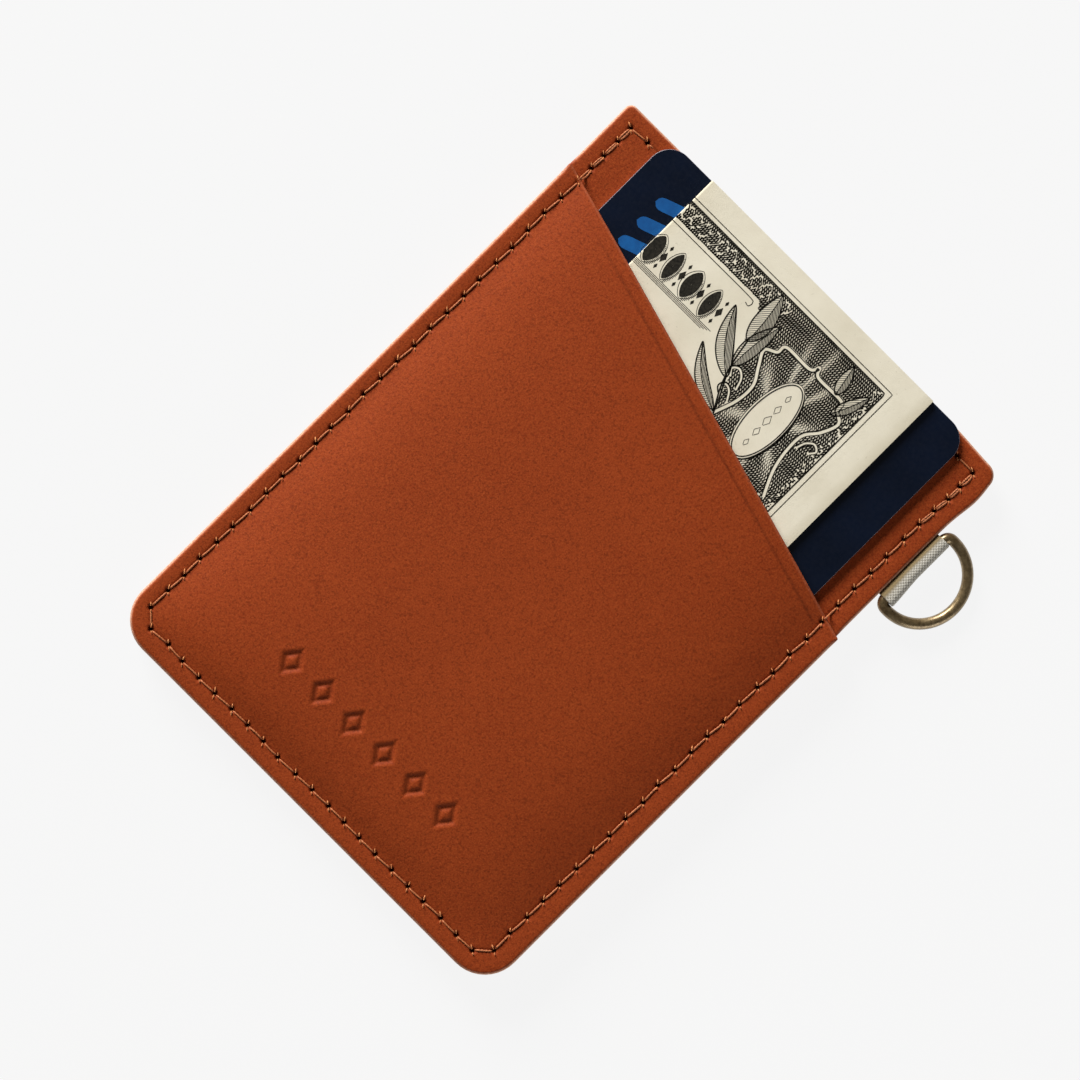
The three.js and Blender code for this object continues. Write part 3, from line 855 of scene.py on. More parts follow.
def mark_relief(xy):
    """The tooled row: hollow lozenges, pressed in, with a puffed middle and a soft shoulder round each."""
    relief, pressed_and_shaded = np.zeros(len(xy)), np.zeros(len(xy))
    for k in range(MARK_COUNT):
        x = MARK_X + (k - (MARK_COUNT - 1) / 2) * MARK_PITCH
        u = np.abs(xy[:, 0] - x) / (MARK_WIDTH / 2)
        v = np.abs(xy[:, 1] - MARK_Y) / (MARK_HEIGHT / 2)
        out = (u + v - 1) * 1.1  # about the distance outside the lozenge's line
        cut = bell(out + 0.2, MARK_STROKE)
        puffed = bell(np.hypot(xy[:, 0] - x, xy[:, 1] - MARK_Y), 0.5)
        relief += (
            -0.22 * cut + 0.06 * puffed
            - 0.05 * bell(np.maximum(out, 0), 0.5) + 0.03 * bell(out - 0.5, 0.3)
        )
        # The cut lines are darkened: pressed leather, with painted shade in the hollow.
        pressed_and_shaded += 0.4 * cut
    return relief, pressed_and_shaded


def under_mouth(xy):
    """How far each point is from the mouth's edge, square to it."""
    return (mouth_y(xy[:, 0]) - xy[:, 1]) / math.hypot(1, MOUTH_SLOPE)


def pocket_detail(xy):
    relief, pressed_and_shaded = seam_relief(xy)
    mark, mark_press_and_shade = mark_relief(xy)
    under_edge = under_mouth(xy)
    crease = bell(under_edge - CREASE_IN, 0.17) * ramp(xy[:, 0], SEAM_LEFT + 1, SEAM_LEFT + 16)
    crease = crease * ramp(xy[:, 0], SEAM_RIGHT + 0.2, SEAM_RIGHT - 1.2)
    burnished = bell(under_edge, 0.8)
    relief = relief + mark - 0.09 * crease - 0.03 * burnished
    # Darkened along the crease, and in the stitch holes and tooled lines with painted shade.
    return relief, np.clip(pressed_and_shaded + mark_press_and_shade + 0.5 * crease, 0, 1)


def plain_back_detail(xy):
    relief, pressed_and_shaded = seam_relief(xy, BACK_SUNK)
    under_edge = under_mouth(xy)
    crease = bell(under_edge - CREASE_IN, 0.17) * ramp(xy[:, 0], SEAM_LEFT + 0.5, SEAM_LEFT + 3)
    crease = crease * ramp(xy[:, 0], SEAM_RIGHT - 0.5, SEAM_RIGHT - 3)
    # Darkened along the crease, and in the stitch holes with painted shade.
    return relief - 0.08 * crease, np.clip(pressed_and_shaded + 0.4 * crease, 0, 1)


def near_marks(xy):
    wide = MARK_PITCH * MARK_COUNT / 2
    return (np.abs(xy[:, 1] - MARK_Y) < MARK_HEIGHT / 2 + 0.8) & (np.abs(xy[:, 0] - MARK_X) < wide)


def near_crease(xy):
    under = mouth_y(xy[:, 0]) - xy[:, 1]
    return (under > CREASE_IN - 0.7) & (under < CREASE_IN + 0.9)


pocket_corners = [
    (LEFT, BOTTOM, BOTTOM_RADIUS),
    (RIGHT, BOTTOM, BOTTOM_RADIUS),
    (RIGHT, MOUTH_RIGHT, 0.25),
    (LEFT, MOUTH_LEFT, 0.25),
]
core_corners = [
    (LEFT, BOTTOM, BOTTOM_RADIUS),
    (CORE_RIGHT, BOTTOM, BOTTOM_RADIUS),
    (CORE_RIGHT, TOP, TOP_RIGHT_RADIUS),
    (LEFT, TOP, TOP_LEFT_RADIUS),
]
POCKET_ROUND = (0.55, 0.8, 0.1)
CORE_ROUND = (0.5, 0.7, 0.08)
TAIL_EDGE = 0.4


def near_tape(xy):
    return (xy[:, 0] > tape_low[0] - 1) & (np.abs(xy[:, 1] - bar[1]) < (tape_high[1] - tape_low[1]) / 2 + 1)


def tape_relief(xy):
    """The skived hollow in the core that takes the tape's two tails."""
    half = (tape_high[1] - tape_low[1]) / 2
    across = ramp(np.abs(xy[:, 1] - bar[1]), half + TAIL_EDGE, half + 0.05)
    return 0.31 * across * ramp(xy[:, 0], tape_low[0] - TAIL_EDGE, tape_low[0])


def above_mouth(reach):
    close = near_seam(reach)
    return lambda xy: close(xy) & (xy[:, 1] > mouth_y(xy[:, 0]) - 1)


seam_levels = [(0.32, near_seam(1.3)), (0.15, near_seam(0.62))]
core_levels = [(0.32, above_mouth(1.3)), (0.15, above_mouth(0.62))]
mark_levels = [(0.2, near_marks), (0.2, near_crease)]
core_floor = (near_tape, tape_relief)
for side, flip in (("front", False), ("back", True)):
    make_panel(
        f"{side}_core_panel", core_corners, CORE_MIDDLE, CORE_TOP, CORE_ROUND, seam_relief,
        core_levels, flip=flip, floor_detail=core_floor,
    )
make_panel(
    "front_pocket_panel", pocket_corners, CORE_TOP, POCKET_TOP, POCKET_ROUND,
    pocket_detail, [*mark_levels, *seam_levels], lifts=pocket_lifts,
)
make_panel(
    "back_pocket_panel", pocket_corners, CORE_TOP, POCKET_TOP, POCKET_ROUND,
    plain_back_detail, [(0.2, near_crease), *seam_levels], flip=True,
)


# ---------------------------------------------------------------- key ring and tape
def swept(centre, section_radius, sides):
    """A round tube with closed ends along a line of points, as rings and faces."""
    tangent = unit_tangents(centre)
    flat = np.array([0.0, 0.0, 1.0])
    side = np.cross(tangent, flat)
    side /= np.linalg.norm(side, axis=1)[:, None]
    up = np.cross(side, tangent)
    angle = np.linspace(0, 2 * np.pi, sides, endpoint=False)
    rings = centre[:, None, :] + section_radius * (
        np.cos(angle)[None, :, None] * side[:, None, :] + np.sin(angle)[None, :, None] * up[:, None, :]
    )
    return rings.reshape(-1, 3), tube_faces(1, len(centre), sides)


WIRE = 0.75  # the ring wire's radius
RING_BEND = 0.9
RING_SPLIT = 0.3


def make_ring():
    """A D bent from one wire, split in the middle of its bar, leaning down on the bar's axis."""
    half_height = (ring_high[1] - ring_low[1]) / 2
    bow = half_height - WIRE
    far = np.array([ring_high[0] - WIRE - bar[0], ring_low[2] + WIRE - bar[2]])
    reach = np.hypot(*far)
    bow_centre = reach - bow
    corner_y = math.sqrt((bow - RING_BEND) ** 2 - (RING_BEND - bow_centre) ** 2)
    turn = math.atan2(corner_y, RING_BEND - bow_centre)
    corner = np.linspace(math.pi, turn, 14)
    arc = np.linspace(turn, 0, 48)[1:]
    half = [[0, RING_SPLIT / 2], [0, corner_y / 3], [0, corner_y * 2 / 3], [0, corner_y * 0.95]]
    half += [[RING_BEND + RING_BEND * math.cos(a), corner_y + RING_BEND * math.sin(a)] for a in corner]
    half += [[bow_centre + bow * math.cos(a), bow * math.sin(a)] for a in arc]
    half = np.array(half)
    flat = np.concatenate([half, half[:-1][::-1] * [1, -1]])
    points, faces = swept(np.column_stack([flat, np.zeros(len(flat))]), WIRE, 28)
    lean = far / reach
    x, y, z = points.T
    turned = np.column_stack([x * lean[0] - z * lean[1], y, x * lean[1] + z * lean[0]])
    return make_object("d_ring_brass", turned + bar, faces, BRASS_LOOK, "ring", ["d_ring"])


RIB = 0.42  # along the tape
RIB_ACROSS = 0.5
WEAVE = 0.035
TAPE_THICK = 0.28


def flattened(part):
    """A circle's sine or cosine pushed out towards a square's."""
    return math.copysign(abs(part) ** 0.72, part)


def tape_path():
    """The tape's middle in X and Z: in along the lower tail, round the bar, and back along the upper one."""
    radius = (tape_high[0] - bar[0]) - TAPE_THICK / 2
    tail = TAPE_THICK / 2 + 0.005
    mouth = CORE_RIGHT - bar[0]
    tangent = math.pi - math.acos(radius / (radius - mouth + 0.05))
    eye = np.linspace(-tangent, tangent, 40)
    points = [[tape_low[0] - bar[0], -tail], [mouth - 0.5, -tail], [mouth - 0.12, -tail - 0.02]]
    points += [[radius * flattened(math.cos(a)), radius * flattened(math.sin(a))] for a in eye]
    points += [[mouth - 0.12, tail + 0.02], [mouth - 0.5, tail], [tape_low[0] - bar[0], tail]]
    return along(points, 0.07) + [bar[0], bar[2]]


def make_tape():
    path = tape_path()
    width = tape_high[1] - tape_low[1]
    y = np.linspace(-width / 2, width / 2, 110)
    tangent = unit_tangents(path)
    normal = np.stack([tangent[:, 1], -tangent[:, 0]], axis=1)
    run = np.arange(len(path)) * 0.07
    loose = smooth((path[:, 0] - CORE_RIGHT) / 1.0)
    weave = np.cos(2 * np.pi * run[:, None] / RIB) * np.cos(2 * np.pi * y[None, :] / RIB_ACROSS)
    end = ramp(np.abs(y), width / 2, width / 2 - 0.12)[None, :]
    skew = 0.32 * ramp(-y, 0, width / 2)[None, :] * loose[:, None]
    rows, columns = len(path), len(y)
    sheets, masks, edge_shadows = [], [], []
    for sign in (1, -1):
        depth = sign * TAPE_THICK / 2 * (0.55 + 0.45 * end)
        depth = depth + sign * WEAVE * weave * end * loose[:, None] * 0.9
        x = path[:, 0, None] + normal[:, 0, None] * depth + skew
        z = path[:, 1, None] + normal[:, 1, None] * depth
        across = np.broadcast_to(y[None, :] + bar[1], x.shape)
        sheets.append(np.stack([x, across, z], axis=2).reshape(-1, 3))
        # Painted shade mask: strongest in the weave's hollows.
        masks.append(((1 - weave) / 2 * loose[:, None]).ravel())
        # Painted shadow that the leather's edge casts on the tape, strongest next to it.
        shadowed = ramp(path[:, 0], CORE_RIGHT + 1.0, CORE_RIGHT + 0.5)
        edge_shadows.append(np.repeat(shadowed, columns))
    piece = make_object(
        "ring_tape_woven", np.concatenate(sheets), sheet_faces(rows, columns), TAPE_LOOK, "wallet",
        ["ring_tape"], {"press_and_shade": np.concatenate(masks), "edge": np.concatenate(edge_shadows)},
    )
    sharpen(piece, 60)
    return piece


make_ring()
make_tape()


# ---------------------------------------------------------------- card
CARD_RADIUS = 3.18
CARD_BEVEL = 0.1
CHIP_PROUD = 0.02  # how far the contacts stand over the card's face


def make_plate(name, corners, low, high, bevel, material, body, replaces):
    """A flat plate with round corners and a small round on both edges."""
    counts = straight_counts(corners, 2.0)
    rings, sides = [], []
    for inset, base, rise, side in edge_profile((bevel, bevel, bevel), low, high, 4):
        loop = inset_loop(corners, inset, counts, 20)
        rings.append(np.column_stack([loop, np.full(len(loop), base + rise)]))
        sides.append(np.full(len(loop), float(side > 0.9)))
    count = len(rings[0])
    faces = grid_faces(len(rings), count, closed_columns=True)
    last = (len(rings) - 1) * count
    faces.append(list(range(count)))
    faces.append([last + k for k in reversed(range(count))])
    masks = {"edge": np.concatenate(sides)}
    piece = make_object(name, np.concatenate(rings), faces, material, body, replaces, masks)
    for polygon in piece.data.polygons:
        polygon.use_smooth = len(polygon.vertices) == 4
    return piece


def rectangle(low, high, radius):
    corners = [(low[0], low[1]), (high[0], low[1]), (high[0], high[1]), (low[0], high[1])]
    return [(*corner, radius) for corner in corners]


def make_card():
    make_plate(
        "card_body_navy", rectangle(card_low, card_high, CARD_RADIUS), card_low[2], card_high[2], CARD_BEVEL,
        CARD_LOOK, "card", ["card_body"],
    )
    make_plate(
        "card_stripe_film", rectangle(stripe_low, stripe_high, 0.3),
        card_low[2] - 0.01, card_low[2] + 0.05, 0.01,
        STRIPE_LOOK, "card", ["card_magnetic_stripe"],
    )
    make_plate(
        "card_chip_gold", rectangle(chip_low, chip_high, 0.9),
        card_high[2] - 0.05, card_high[2] + CHIP_PROUD, 0.015,
        GOLD_LOOK, "card", ["card_chip"],
    )


make_card()


# ---------------------------------------------------------------- printed shapes
def ribbon(points, widths):
    """A flat stroke along a line of points, as points and quads."""
    widths = np.broadcast_to(np.asarray(widths, float), (len(points),))
    ahead = np.gradient(points, axis=0)
    ahead /= np.maximum(np.linalg.norm(ahead, axis=1), 1e-9)[:, None]
    side = np.stack([-ahead[:, 1], ahead[:, 0]], axis=1) * widths[:, None] / 2
    both = np.stack([points + side, points - side], axis=1).reshape(-1, 2)
    first = np.arange(len(points) - 1) * 2
    return both, np.stack([first, first + 1, first + 3, first + 2], axis=1)


def within(xy, polygon):
    """Which points are inside a polygon."""
    hit = np.zeros(len(xy), bool)
    x, y = xy[:, 0], xy[:, 1]
    for (ax, ay), (bx, by) in zip(polygon, np.roll(polygon, -1, axis=0)):
        if ay != by:
            hit ^= ((ay > y) != (by > y)) & (x < (bx - ax) * (y - ay) / (by - ay) + ax)
    return hit


class Ink:
    """Flat printed strokes and shapes, gathered into one mesh."""

    def __init__(self):
        self.points, self.faces, self.count = [], [], 0

    def add(self, points, faces):
        self.points.append(points)
        self.faces.append(np.asarray(faces) + self.count)
        self.count += len(points)

    def stroke(self, points, widths, keep=None, step=None):
        """A line of ink. keep says which of its points are printed."""
        points = np.asarray(points, float)
        if step:
            points = along(points, step)
        both, quads = ribbon(points, widths)
        if keep is not None:
            printed = keep(points)
            quads = quads[printed[:-1] & printed[1:]]
        if len(quads):
            self.add(both, quads)

    def closed(self, points, width, keep=None):
        self.stroke(np.concatenate([points, points[:2]]), width, keep)

    def fill(self, polygon):
        """A solid shape, for outlines that can be seen whole from their middle."""
        polygon = np.asarray(polygon, float)
        middle = polygon.mean(axis=0)
        inner = middle + (polygon - middle) * 0.02
        count = len(polygon)
        k = np.arange(count)
        ahead = (k + 1) % count
        self.add(np.concatenate([polygon, inner]), np.stack([k, ahead, ahead + count, k + count], axis=1))

    def hatch(self, low, high, angle, pitch, width, keep, step=0.13, sway=None):
        """Parallel lines over a box, printed where keep says; sway moves them.

        The width is a number or depends on the points.
        """
        low, high = np.asarray(low, float), np.asarray(high, float)
        middle, reach = (low + high) / 2, np.linalg.norm(high - low) / 2
        ahead = np.array([math.cos(angle), math.sin(angle)])
        side = np.array([-ahead[1], ahead[0]])
        run = np.arange(-reach, reach, step)
        for across in np.arange(-reach, reach, pitch):
            line = middle + side * across + ahead * run[:, None]
            line = line[((line >= low) & (line <= high)).all(axis=1)]
            if len(line) > 2:
                line = sway(line) if sway else line
                self.stroke(line, width(line) if callable(width) else width, keep)

    def mirrored(self, place):
        """The same ink again, with every point moved by place, which turns it over."""
        points = place(np.concatenate(self.points))
        self.add(points, np.concatenate(self.faces)[:, ::-1])

    def make(self, name, place, material, body, slot):
        """The ink as a piece. place turns its points into X, Y and Z."""
        points = place(np.concatenate(self.points))
        return make_object(name, points, np.concatenate(self.faces).tolist(), material, body)


INK_LIFT = 0.012  # the film of ink over the face that it is printed on


def at_height(z):
    """A place function for ink that is drawn in X and Y."""
    return lambda xy: np.column_stack([xy, np.full(len(xy), z)])


BAR_COUNT, BAR_PITCH, BAR_WIDTH = 9, 3.35, 1.75


BAR_ENDS = np.array([[4.3, -6.9], [11.6, -4.3]])  # the top bar's, from the card's upper left corner


def make_card_print():
    """A column of bold slanting bars, a plain printed motif along the card's face."""
    ink = Ink()
    ends = BAR_ENDS + [card_low[0], card_high[1]]
    for k in range(BAR_COUNT):
        line = along(ends - [0, k * BAR_PITCH], 0.3)
        t = np.linspace(-1, 1, len(line))
        ink.stroke(line, BAR_WIDTH * (1 - t**12))
    ink.make("card_print_bars", at_height(card_high[2] + INK_LIFT), BLUE_LOOK, "card", "card_plastic")


CHIP_GAP = 0.16  # the dark lines between the chip's contacts
CHIP_PAD = (0.36, 0.42)  # the middle contact's size, in shares of the chip's
CHIP_ROW = 0.34  # how far up and down the side contacts are parted, in shares of the chip's height
CHIP_REACH = 0.96  # how far towards the chip's edge the gaps run


def make_chip_lines():
    """The dark gaps between the chip's contacts."""
    ink = Ink()
    middle, half = (chip_low[:2] + chip_high[:2]) / 2, (chip_high[:2] - chip_low[:2]) / 2
    pad = half * CHIP_PAD
    ink.closed(inset_loop(rectangle(middle - pad, middle + pad, 0.5), 0, [1] * 4), CHIP_GAP)
    for side in (-1, 1):
        for rise in (-CHIP_ROW, CHIP_ROW):
            start = middle + [side * pad[0], rise * half[1]]
            end = middle + [side * half[0] * CHIP_REACH, rise * half[1]]
            ink.stroke([start, end], CHIP_GAP, step=0.4)
        end = middle + [0, side * half[1] * CHIP_REACH]
        ink.stroke([middle + [0, side * pad[1]], end], CHIP_GAP, step=0.4)
    place = at_height(card_high[2] + CHIP_PROUD + INK_LIFT)
    ink.make("card_chip_gaps", place, INK_LOOK, "card", "chip_contacts")


make_card_print()
make_chip_lines()


# ---------------------------------------------------------------- folded note
PAPER = 0.11
PAPER_PITCH = 0.15


def note_path():
    """The paper's middle in X and Z, folded in half twice: outer fold, centre fold, nested fold."""
    bottom = note_low[2] + PAPER / 2
    outer = 1.5 * PAPER_PITCH
    left = note_low[0] + PAPER / 2 + outer
    right = note_high[0] - PAPER / 2 - PAPER_PITCH / 2
    points = [[note_high[0], bottom + 3 * PAPER_PITCH]]
    folds = [
        (left, bottom + outer, outer, math.pi / 2, 1.5 * math.pi),
        (right, bottom + PAPER_PITCH / 2, PAPER_PITCH / 2, -math.pi / 2, math.pi / 2),
        (left, bottom + 1.5 * PAPER_PITCH, PAPER_PITCH / 2, 1.5 * math.pi, math.pi / 2),
    ]
    for x, z, radius, start, end in folds:
        for angle in np.linspace(start, end, 13):
            points.append([x + radius * math.cos(angle), z + radius * math.sin(angle)])
    points.append([note_high[0] - 0.25, bottom + 2 * PAPER_PITCH])
    return np.array(points)


def make_note():
    path = note_path()
    fine = [path[:1]]
    for a, b in zip(path[:-1], path[1:]):
        steps = max(1, int(np.linalg.norm(b - a) / 1.5))
        fine.append(a + (b - a) * np.linspace(0, 1, steps + 1)[1:, None])
    path = np.concatenate(fine)
    y = np.linspace(note_low[1], note_high[1], 60)
    tangent = unit_tangents(path)
    normal = np.stack([tangent[:, 1], -tangent[:, 0]], axis=1)
    rows, columns = len(path), len(y)
    sheets = []
    for sign in (1, -1):
        face = path + normal * sign * PAPER / 2
        x, z = np.repeat(face, columns, axis=0).T
        sheets.append(np.column_stack([x, np.tile(y, rows), z]))
    near_fold = np.minimum(path[:, 0] - note_low[0], note_high[0] - path[:, 0])
    # Painted shade along both folds.
    press_and_shade = np.repeat(bell(near_fold, 0.5)[:, None], columns, axis=1).ravel()
    piece = make_object(
        "folded_note_paper", np.concatenate(sheets), sheet_faces(rows, columns), PAPER_LOOK, "note",
        ["folded_note"], {"press_and_shade": np.concatenate([press_and_shade, press_and_shade])},
    )
    sharpen(piece)
    return piece


make_note()


# ---------------------------------------------------------------- engraving on the note
# Drawn in the note's own plane: u from its left fold, v down from its top edge.
NOTE_WIDE = note_high[0] - note_low[0]
NOTE_LONG = note_high[1] - note_low[1]
FRAME_U, FRAME_V = NOTE_WIDE - 4.25, 3.1  # the thin outer line
BORDER_U, BORDER_V = NOTE_WIDE - 5.0, 3.72  # the heavy line inside it
BAND = 2.85  # the dark border's width
NET_PITCH = 0.31
NET_WIDTH = 0.165
NET_WAVE = 4.1


def curve(*points, spacing=0.12):
    """A smooth line through a few points."""
    points = np.array(points, float)
    knots = np.concatenate([[2 * points[0] - points[1]], points, [2 * points[-1] - points[-2]]])
    t = np.linspace(0, 1, 14)[:-1, None]
    parts = []
    for a, b, c, d in zip(knots[:-3], knots[1:-2], knots[2:-1], knots[3:]):
        square = (2 * a - 5 * b + 4 * c - d) * t**2
        cube = (3 * b - a - 3 * c + d) * t**3
        parts.append(0.5 * (2 * b + (c - a) * t + square + cube))
    return along(np.concatenate([*parts, points[-1:]]), spacing)


def leaf(base, tip, width, bend):
    """A leaf's outline and its midrib, between two points, bent to one side."""
    base, tip = np.array(base, float), np.array(tip, float)
    t = np.linspace(0, 1, 40)
    ahead = tip - base
    side = np.array([-ahead[1], ahead[0]]) / np.linalg.norm(ahead)
    rib = base + ahead * t[:, None] + side * (bend * np.sin(np.pi * t))[:, None]
    half = width / 2 * np.sin(np.pi * t**0.8) ** 0.75
    return np.concatenate([rib + side * half[:, None], (rib - side * half[:, None])[::-1]]), rib


MEDALLION = np.array([26.5, 16.7])
MEDALLION_HALF = np.array([2.45, 5.9])


def ellipse(middle, half, grow=0.0, count=90):
    a = np.linspace(0, 2 * np.pi, count, endpoint=False)
    return middle + np.stack([np.cos(a), np.sin(a)], axis=1) * (half + grow)


leaves = [
    leaf((17.6, 11.3), (16.7, 4.0), 2.7, 0.2),
    leaf((18.4, 14.8), (19.3, 7.1), 2.3, -0.25),
    leaf((18.9, 16.5), (13.3, 9.1), 2.3, -0.7),
    leaf((20.6, 20.6), (13.6, 15.3), 1.7, -0.8),
    leaf((30.3, 8.2), (29.5, 4.0), 1.6, 0.0),
    leaf((31.6, 10.4), (33.7, 5.4), 1.6, 0.1),
]
stems = [
    curve((17.6, 11.3), (18.2, 14.5), (19.2, 17.6), (21.0, 20.9)),
    curve((18.9, 16.5), (20.0, 18.6), (21.0, 20.9)),
]
cartouche = curve(
    (20.9, 20.9), (22.0, 17.6), (22.1, 14.8), (20.9, 12.6), (19.9, 10.6), (21.3, 9.6), (21.75, 8.35),
    (25.7, 8.25), (26.5, 7.2), (27.3, 8.25), (31.4, 8.3), (31.9, 9.5), (33.2, 10.6), (32.4, 12.9),
    (31.0, 14.9), (30.9, 17.6), (31.5, 20.6), (33.0, 23.9),
)
scrolls = [
    curve((20.9, 16.6), (20.4, 15.2), (19.4, 14.5), (18.6, 15.1), (19.1, 15.9)),
    curve((21.2, 18.6), (20.4, 17.4), (19.5, 17.1), (19.1, 17.8), (19.7, 18.4)),
    curve((31.6, 16.4), (32.0, 15.3), (32.9, 14.6), (33.7, 15.1), (33.2, 15.9)),
    curve((0, 6.95), (7, 6.95), (13.6, 6.95), (14.6, 7.2), (14.5, 7.9), (13.9, 7.8)),
]
panel_edge = np.array(
    [
        (0, BORDER_V), (BORDER_U, BORDER_V), (BORDER_U, NOTE_LONG / 2), (BORDER_U - BAND, NOTE_LONG / 2),
        (BORDER_U - BAND, 27.5), (29.5, 26.0), (26.5, 27.3), (23.5, 26.0), (21.5, 23.5),
        (20.4, 19.5), (18.9, 15.5),
        (17.2, 11.5), (16.0, 8.0), (15.0, 6.6), (0, 6.6),
    ]
)
WAVE_LENGTH, WAVE_HEIGHT, WAVE_HALF = 3.1, 0.95, 0.06


def near_wave(xy):
    """The unprinted wavy lines that run through the border's net."""
    along_top = xy[:, 0] < 19
    run = np.where(along_top, xy[:, 0], xy[:, 1])
    depth = np.where(along_top, xy[:, 1] - BORDER_V, BORDER_U - xy[:, 0])
    turn = 2 * np.pi * run / WAVE_LENGTH
    hit = np.zeros(len(xy), bool)
    for phase in (0, math.pi):
        hit |= np.abs(depth - BAND / 2 - WAVE_HEIGHT * np.sin(turn + phase)) < WAVE_HALF
    on_band = along_top | (xy[:, 1] > 24) | (xy[:, 0] > BORDER_U - 1.1)
    return hit & on_band


def in_net(xy):
    """Where the dark net is printed: the border and the corner panel, but not over the ornaments."""
    kept = within(xy, panel_edge) & ~near_wave(xy)
    kept &= ~within(xy, ellipse(MEDALLION, MEDALLION_HALF, 0.35))
    for outline, _ in leaves:
        kept &= ~within(xy, outline)
    near = np.abs(xy - [26.5, 15]).max(axis=1) < 10
    close = np.zeros(len(xy), bool)
    close[near] = distance_to_line(xy[near], cartouche[::3]) < 0.3
    for line in scrolls:
        close |= distance_to_line(xy, line[::3]) < 0.2
    return kept & ~close


def net_width(xy):
    """Net lines thin out along rays round the medallion, which lets the paper shine through."""
    out = (xy - MEDALLION) / MEDALLION_HALF
    ring = np.hypot(*out.T)
    rays = np.cos(5 * np.arctan2(out[:, 1], out[:, 0]) + 1.2) ** 8
    return NET_WIDTH * (1 - 0.75 * rays * (ring < 2.6) * np.clip(2.6 - ring, 0, 1))


def net_sway(xy):
    """Net lines weave from side to side, like an engine-turned pattern."""
    u, v = xy.T
    turn = 2 * np.pi * v / NET_WAVE
    return np.column_stack([u + 0.3 * np.sin(turn + 1.1 * np.sin(u / 2.9)), v])


CARTOUCHE_GAP, SCROLL_GAP = 0.27, 0.2  # from a band's middle to the lines on both sides of it


def diamond(middle, wide, high):
    """A diamond's corners, from its half width and half height."""
    return middle + np.array([(0, -high), (wide, 0), (0, high), (-wide, 0)])


def engrave_corner(ink):
    low, high = panel_edge.min(axis=0), panel_edge.max(axis=0)
    for angle in (math.radians(69), math.radians(111)):
        ink.hatch(low, high, angle, NET_PITCH, net_width, in_net, sway=net_sway)
    for outline, rib in leaves:
        ink.closed(outline, 0.18)
        ink.stroke(rib, 0.12)
        half = np.concatenate([rib, outline[: len(rib)][::-1]])
        ink.hatch(outline.min(axis=0), outline.max(axis=0), 0.9, 0.18, 0.11, lambda xy: within(xy, half), 0.1)
        ink.hatch(
            outline.min(axis=0), outline.max(axis=0), 2.3, 0.26, 0.07,
            lambda xy: within(xy, outline) & ~within(xy, half), 0.1,
        )
    for stem in stems:
        ink.stroke(stem, 0.22)
    for line in (cartouche, *scrolls[:3]):
        gap = CARTOUCHE_GAP if line is cartouche else SCROLL_GAP
        ahead = unit_tangents(line)
        side = np.stack([-ahead[:, 1], ahead[:, 0]], axis=1)
        ink.stroke(line + side * gap, 0.2)
        ink.stroke(line - side * gap, 0.12)
    ink.closed(ellipse(MEDALLION, MEDALLION_HALF), 0.16)
    ink.closed(ellipse(MEDALLION, MEDALLION_HALF, 0.32), 0.1)
    shade = ellipse(MEDALLION + [0.22, 0.1], MEDALLION_HALF, 0.12)
    turn = (np.arange(len(shade)) / len(shade)) * 2 * np.pi
    ink.closed(shade, np.append(0.36 * np.clip(np.cos(turn - 0.2), 0.02, 1), [0.35, 0.35]))
    for k in range(-2, 3):
        size = 0.85 - 0.14 * abs(k)
        outline = diamond(MEDALLION + [0, 1.9 * k], 0.55 * size, size)
        ink.closed(along(np.concatenate([outline, outline[:1]]), 0.2)[:-1], 0.07)


def engrave_borders(ink):
    half = NOTE_LONG / 2
    for u, v, width in ((FRAME_U, FRAME_V, 0.12), (BORDER_U, BORDER_V, 0.2)):
        ink.stroke([(0, v), (u, v), (u, half)], width, step=0.5)
    ink.stroke([(0, BORDER_V + 2.72), (14.9, BORDER_V + 2.72)], 0.16, step=0.5)
    ink.stroke(scrolls[3] + [0, 0.17], 0.12)
    ink.stroke([(BORDER_U - BAND, 27.4), (BORDER_U - BAND, half)], 0.18, step=0.5)
    ink.stroke([(BORDER_U - BAND - 0.35, 27.2), (BORDER_U - BAND - 0.35, half)], 0.1, step=0.5)


ORNAMENT_TOP, ORNAMENT_HIGH, ORNAMENT_PITCH = 9.2, 4.2, 3.3
ORNAMENT_SHADOW = np.array([0.42, 0.34])


def engrave_ornament_row(ink):
    """A bold row of darts and diamonds with thin outlines and a drop shadow."""
    middle_v = ORNAMENT_TOP + ORNAMENT_HIGH / 2
    for k in range(4):
        u = 0.9 + k * ORNAMENT_PITCH
        t = np.linspace(0, 2 * np.pi, 48, endpoint=False)
        wide = 0.78 if k % 2 else 1.05
        pointed = np.sign(np.cos(t)) * np.abs(np.cos(t)) ** 1.5 * wide
        dart = np.stack([u + pointed, middle_v + np.sin(t) * ORNAMENT_HIGH / 2], axis=1)
        dart = dart[dart[:, 0] > 0.02] if k == 0 else dart
        ghost = dart + ORNAMENT_SHADOW
        ink.hatch(
            ghost.min(axis=0), ghost.max(axis=0), 0, 0.2, 0.1,
            lambda xy: within(xy, ghost) & ~within(xy, dart), 0.1,
        )
        ink.fill(dart)
        centre = np.array([u, middle_v])
        ink.closed(centre + (dart - centre) * [1.32, 1.1], 0.08)
        dot = np.array([u + ORNAMENT_PITCH / 2, middle_v])
        ink.fill(diamond(dot, 0.42, 0.8))
        for rise in (-1.5, 1.5):
            ink.fill(diamond(dot + [0, rise], 0.22, 0.4))
    shadow_v = ORNAMENT_TOP + ORNAMENT_HIGH + 0.35
    for k in range(4):
        ink.stroke([(0, shadow_v + 0.2 * k), (13.4 - 0.4 * k, shadow_v + 0.2 * k)], 0.09, step=0.4)


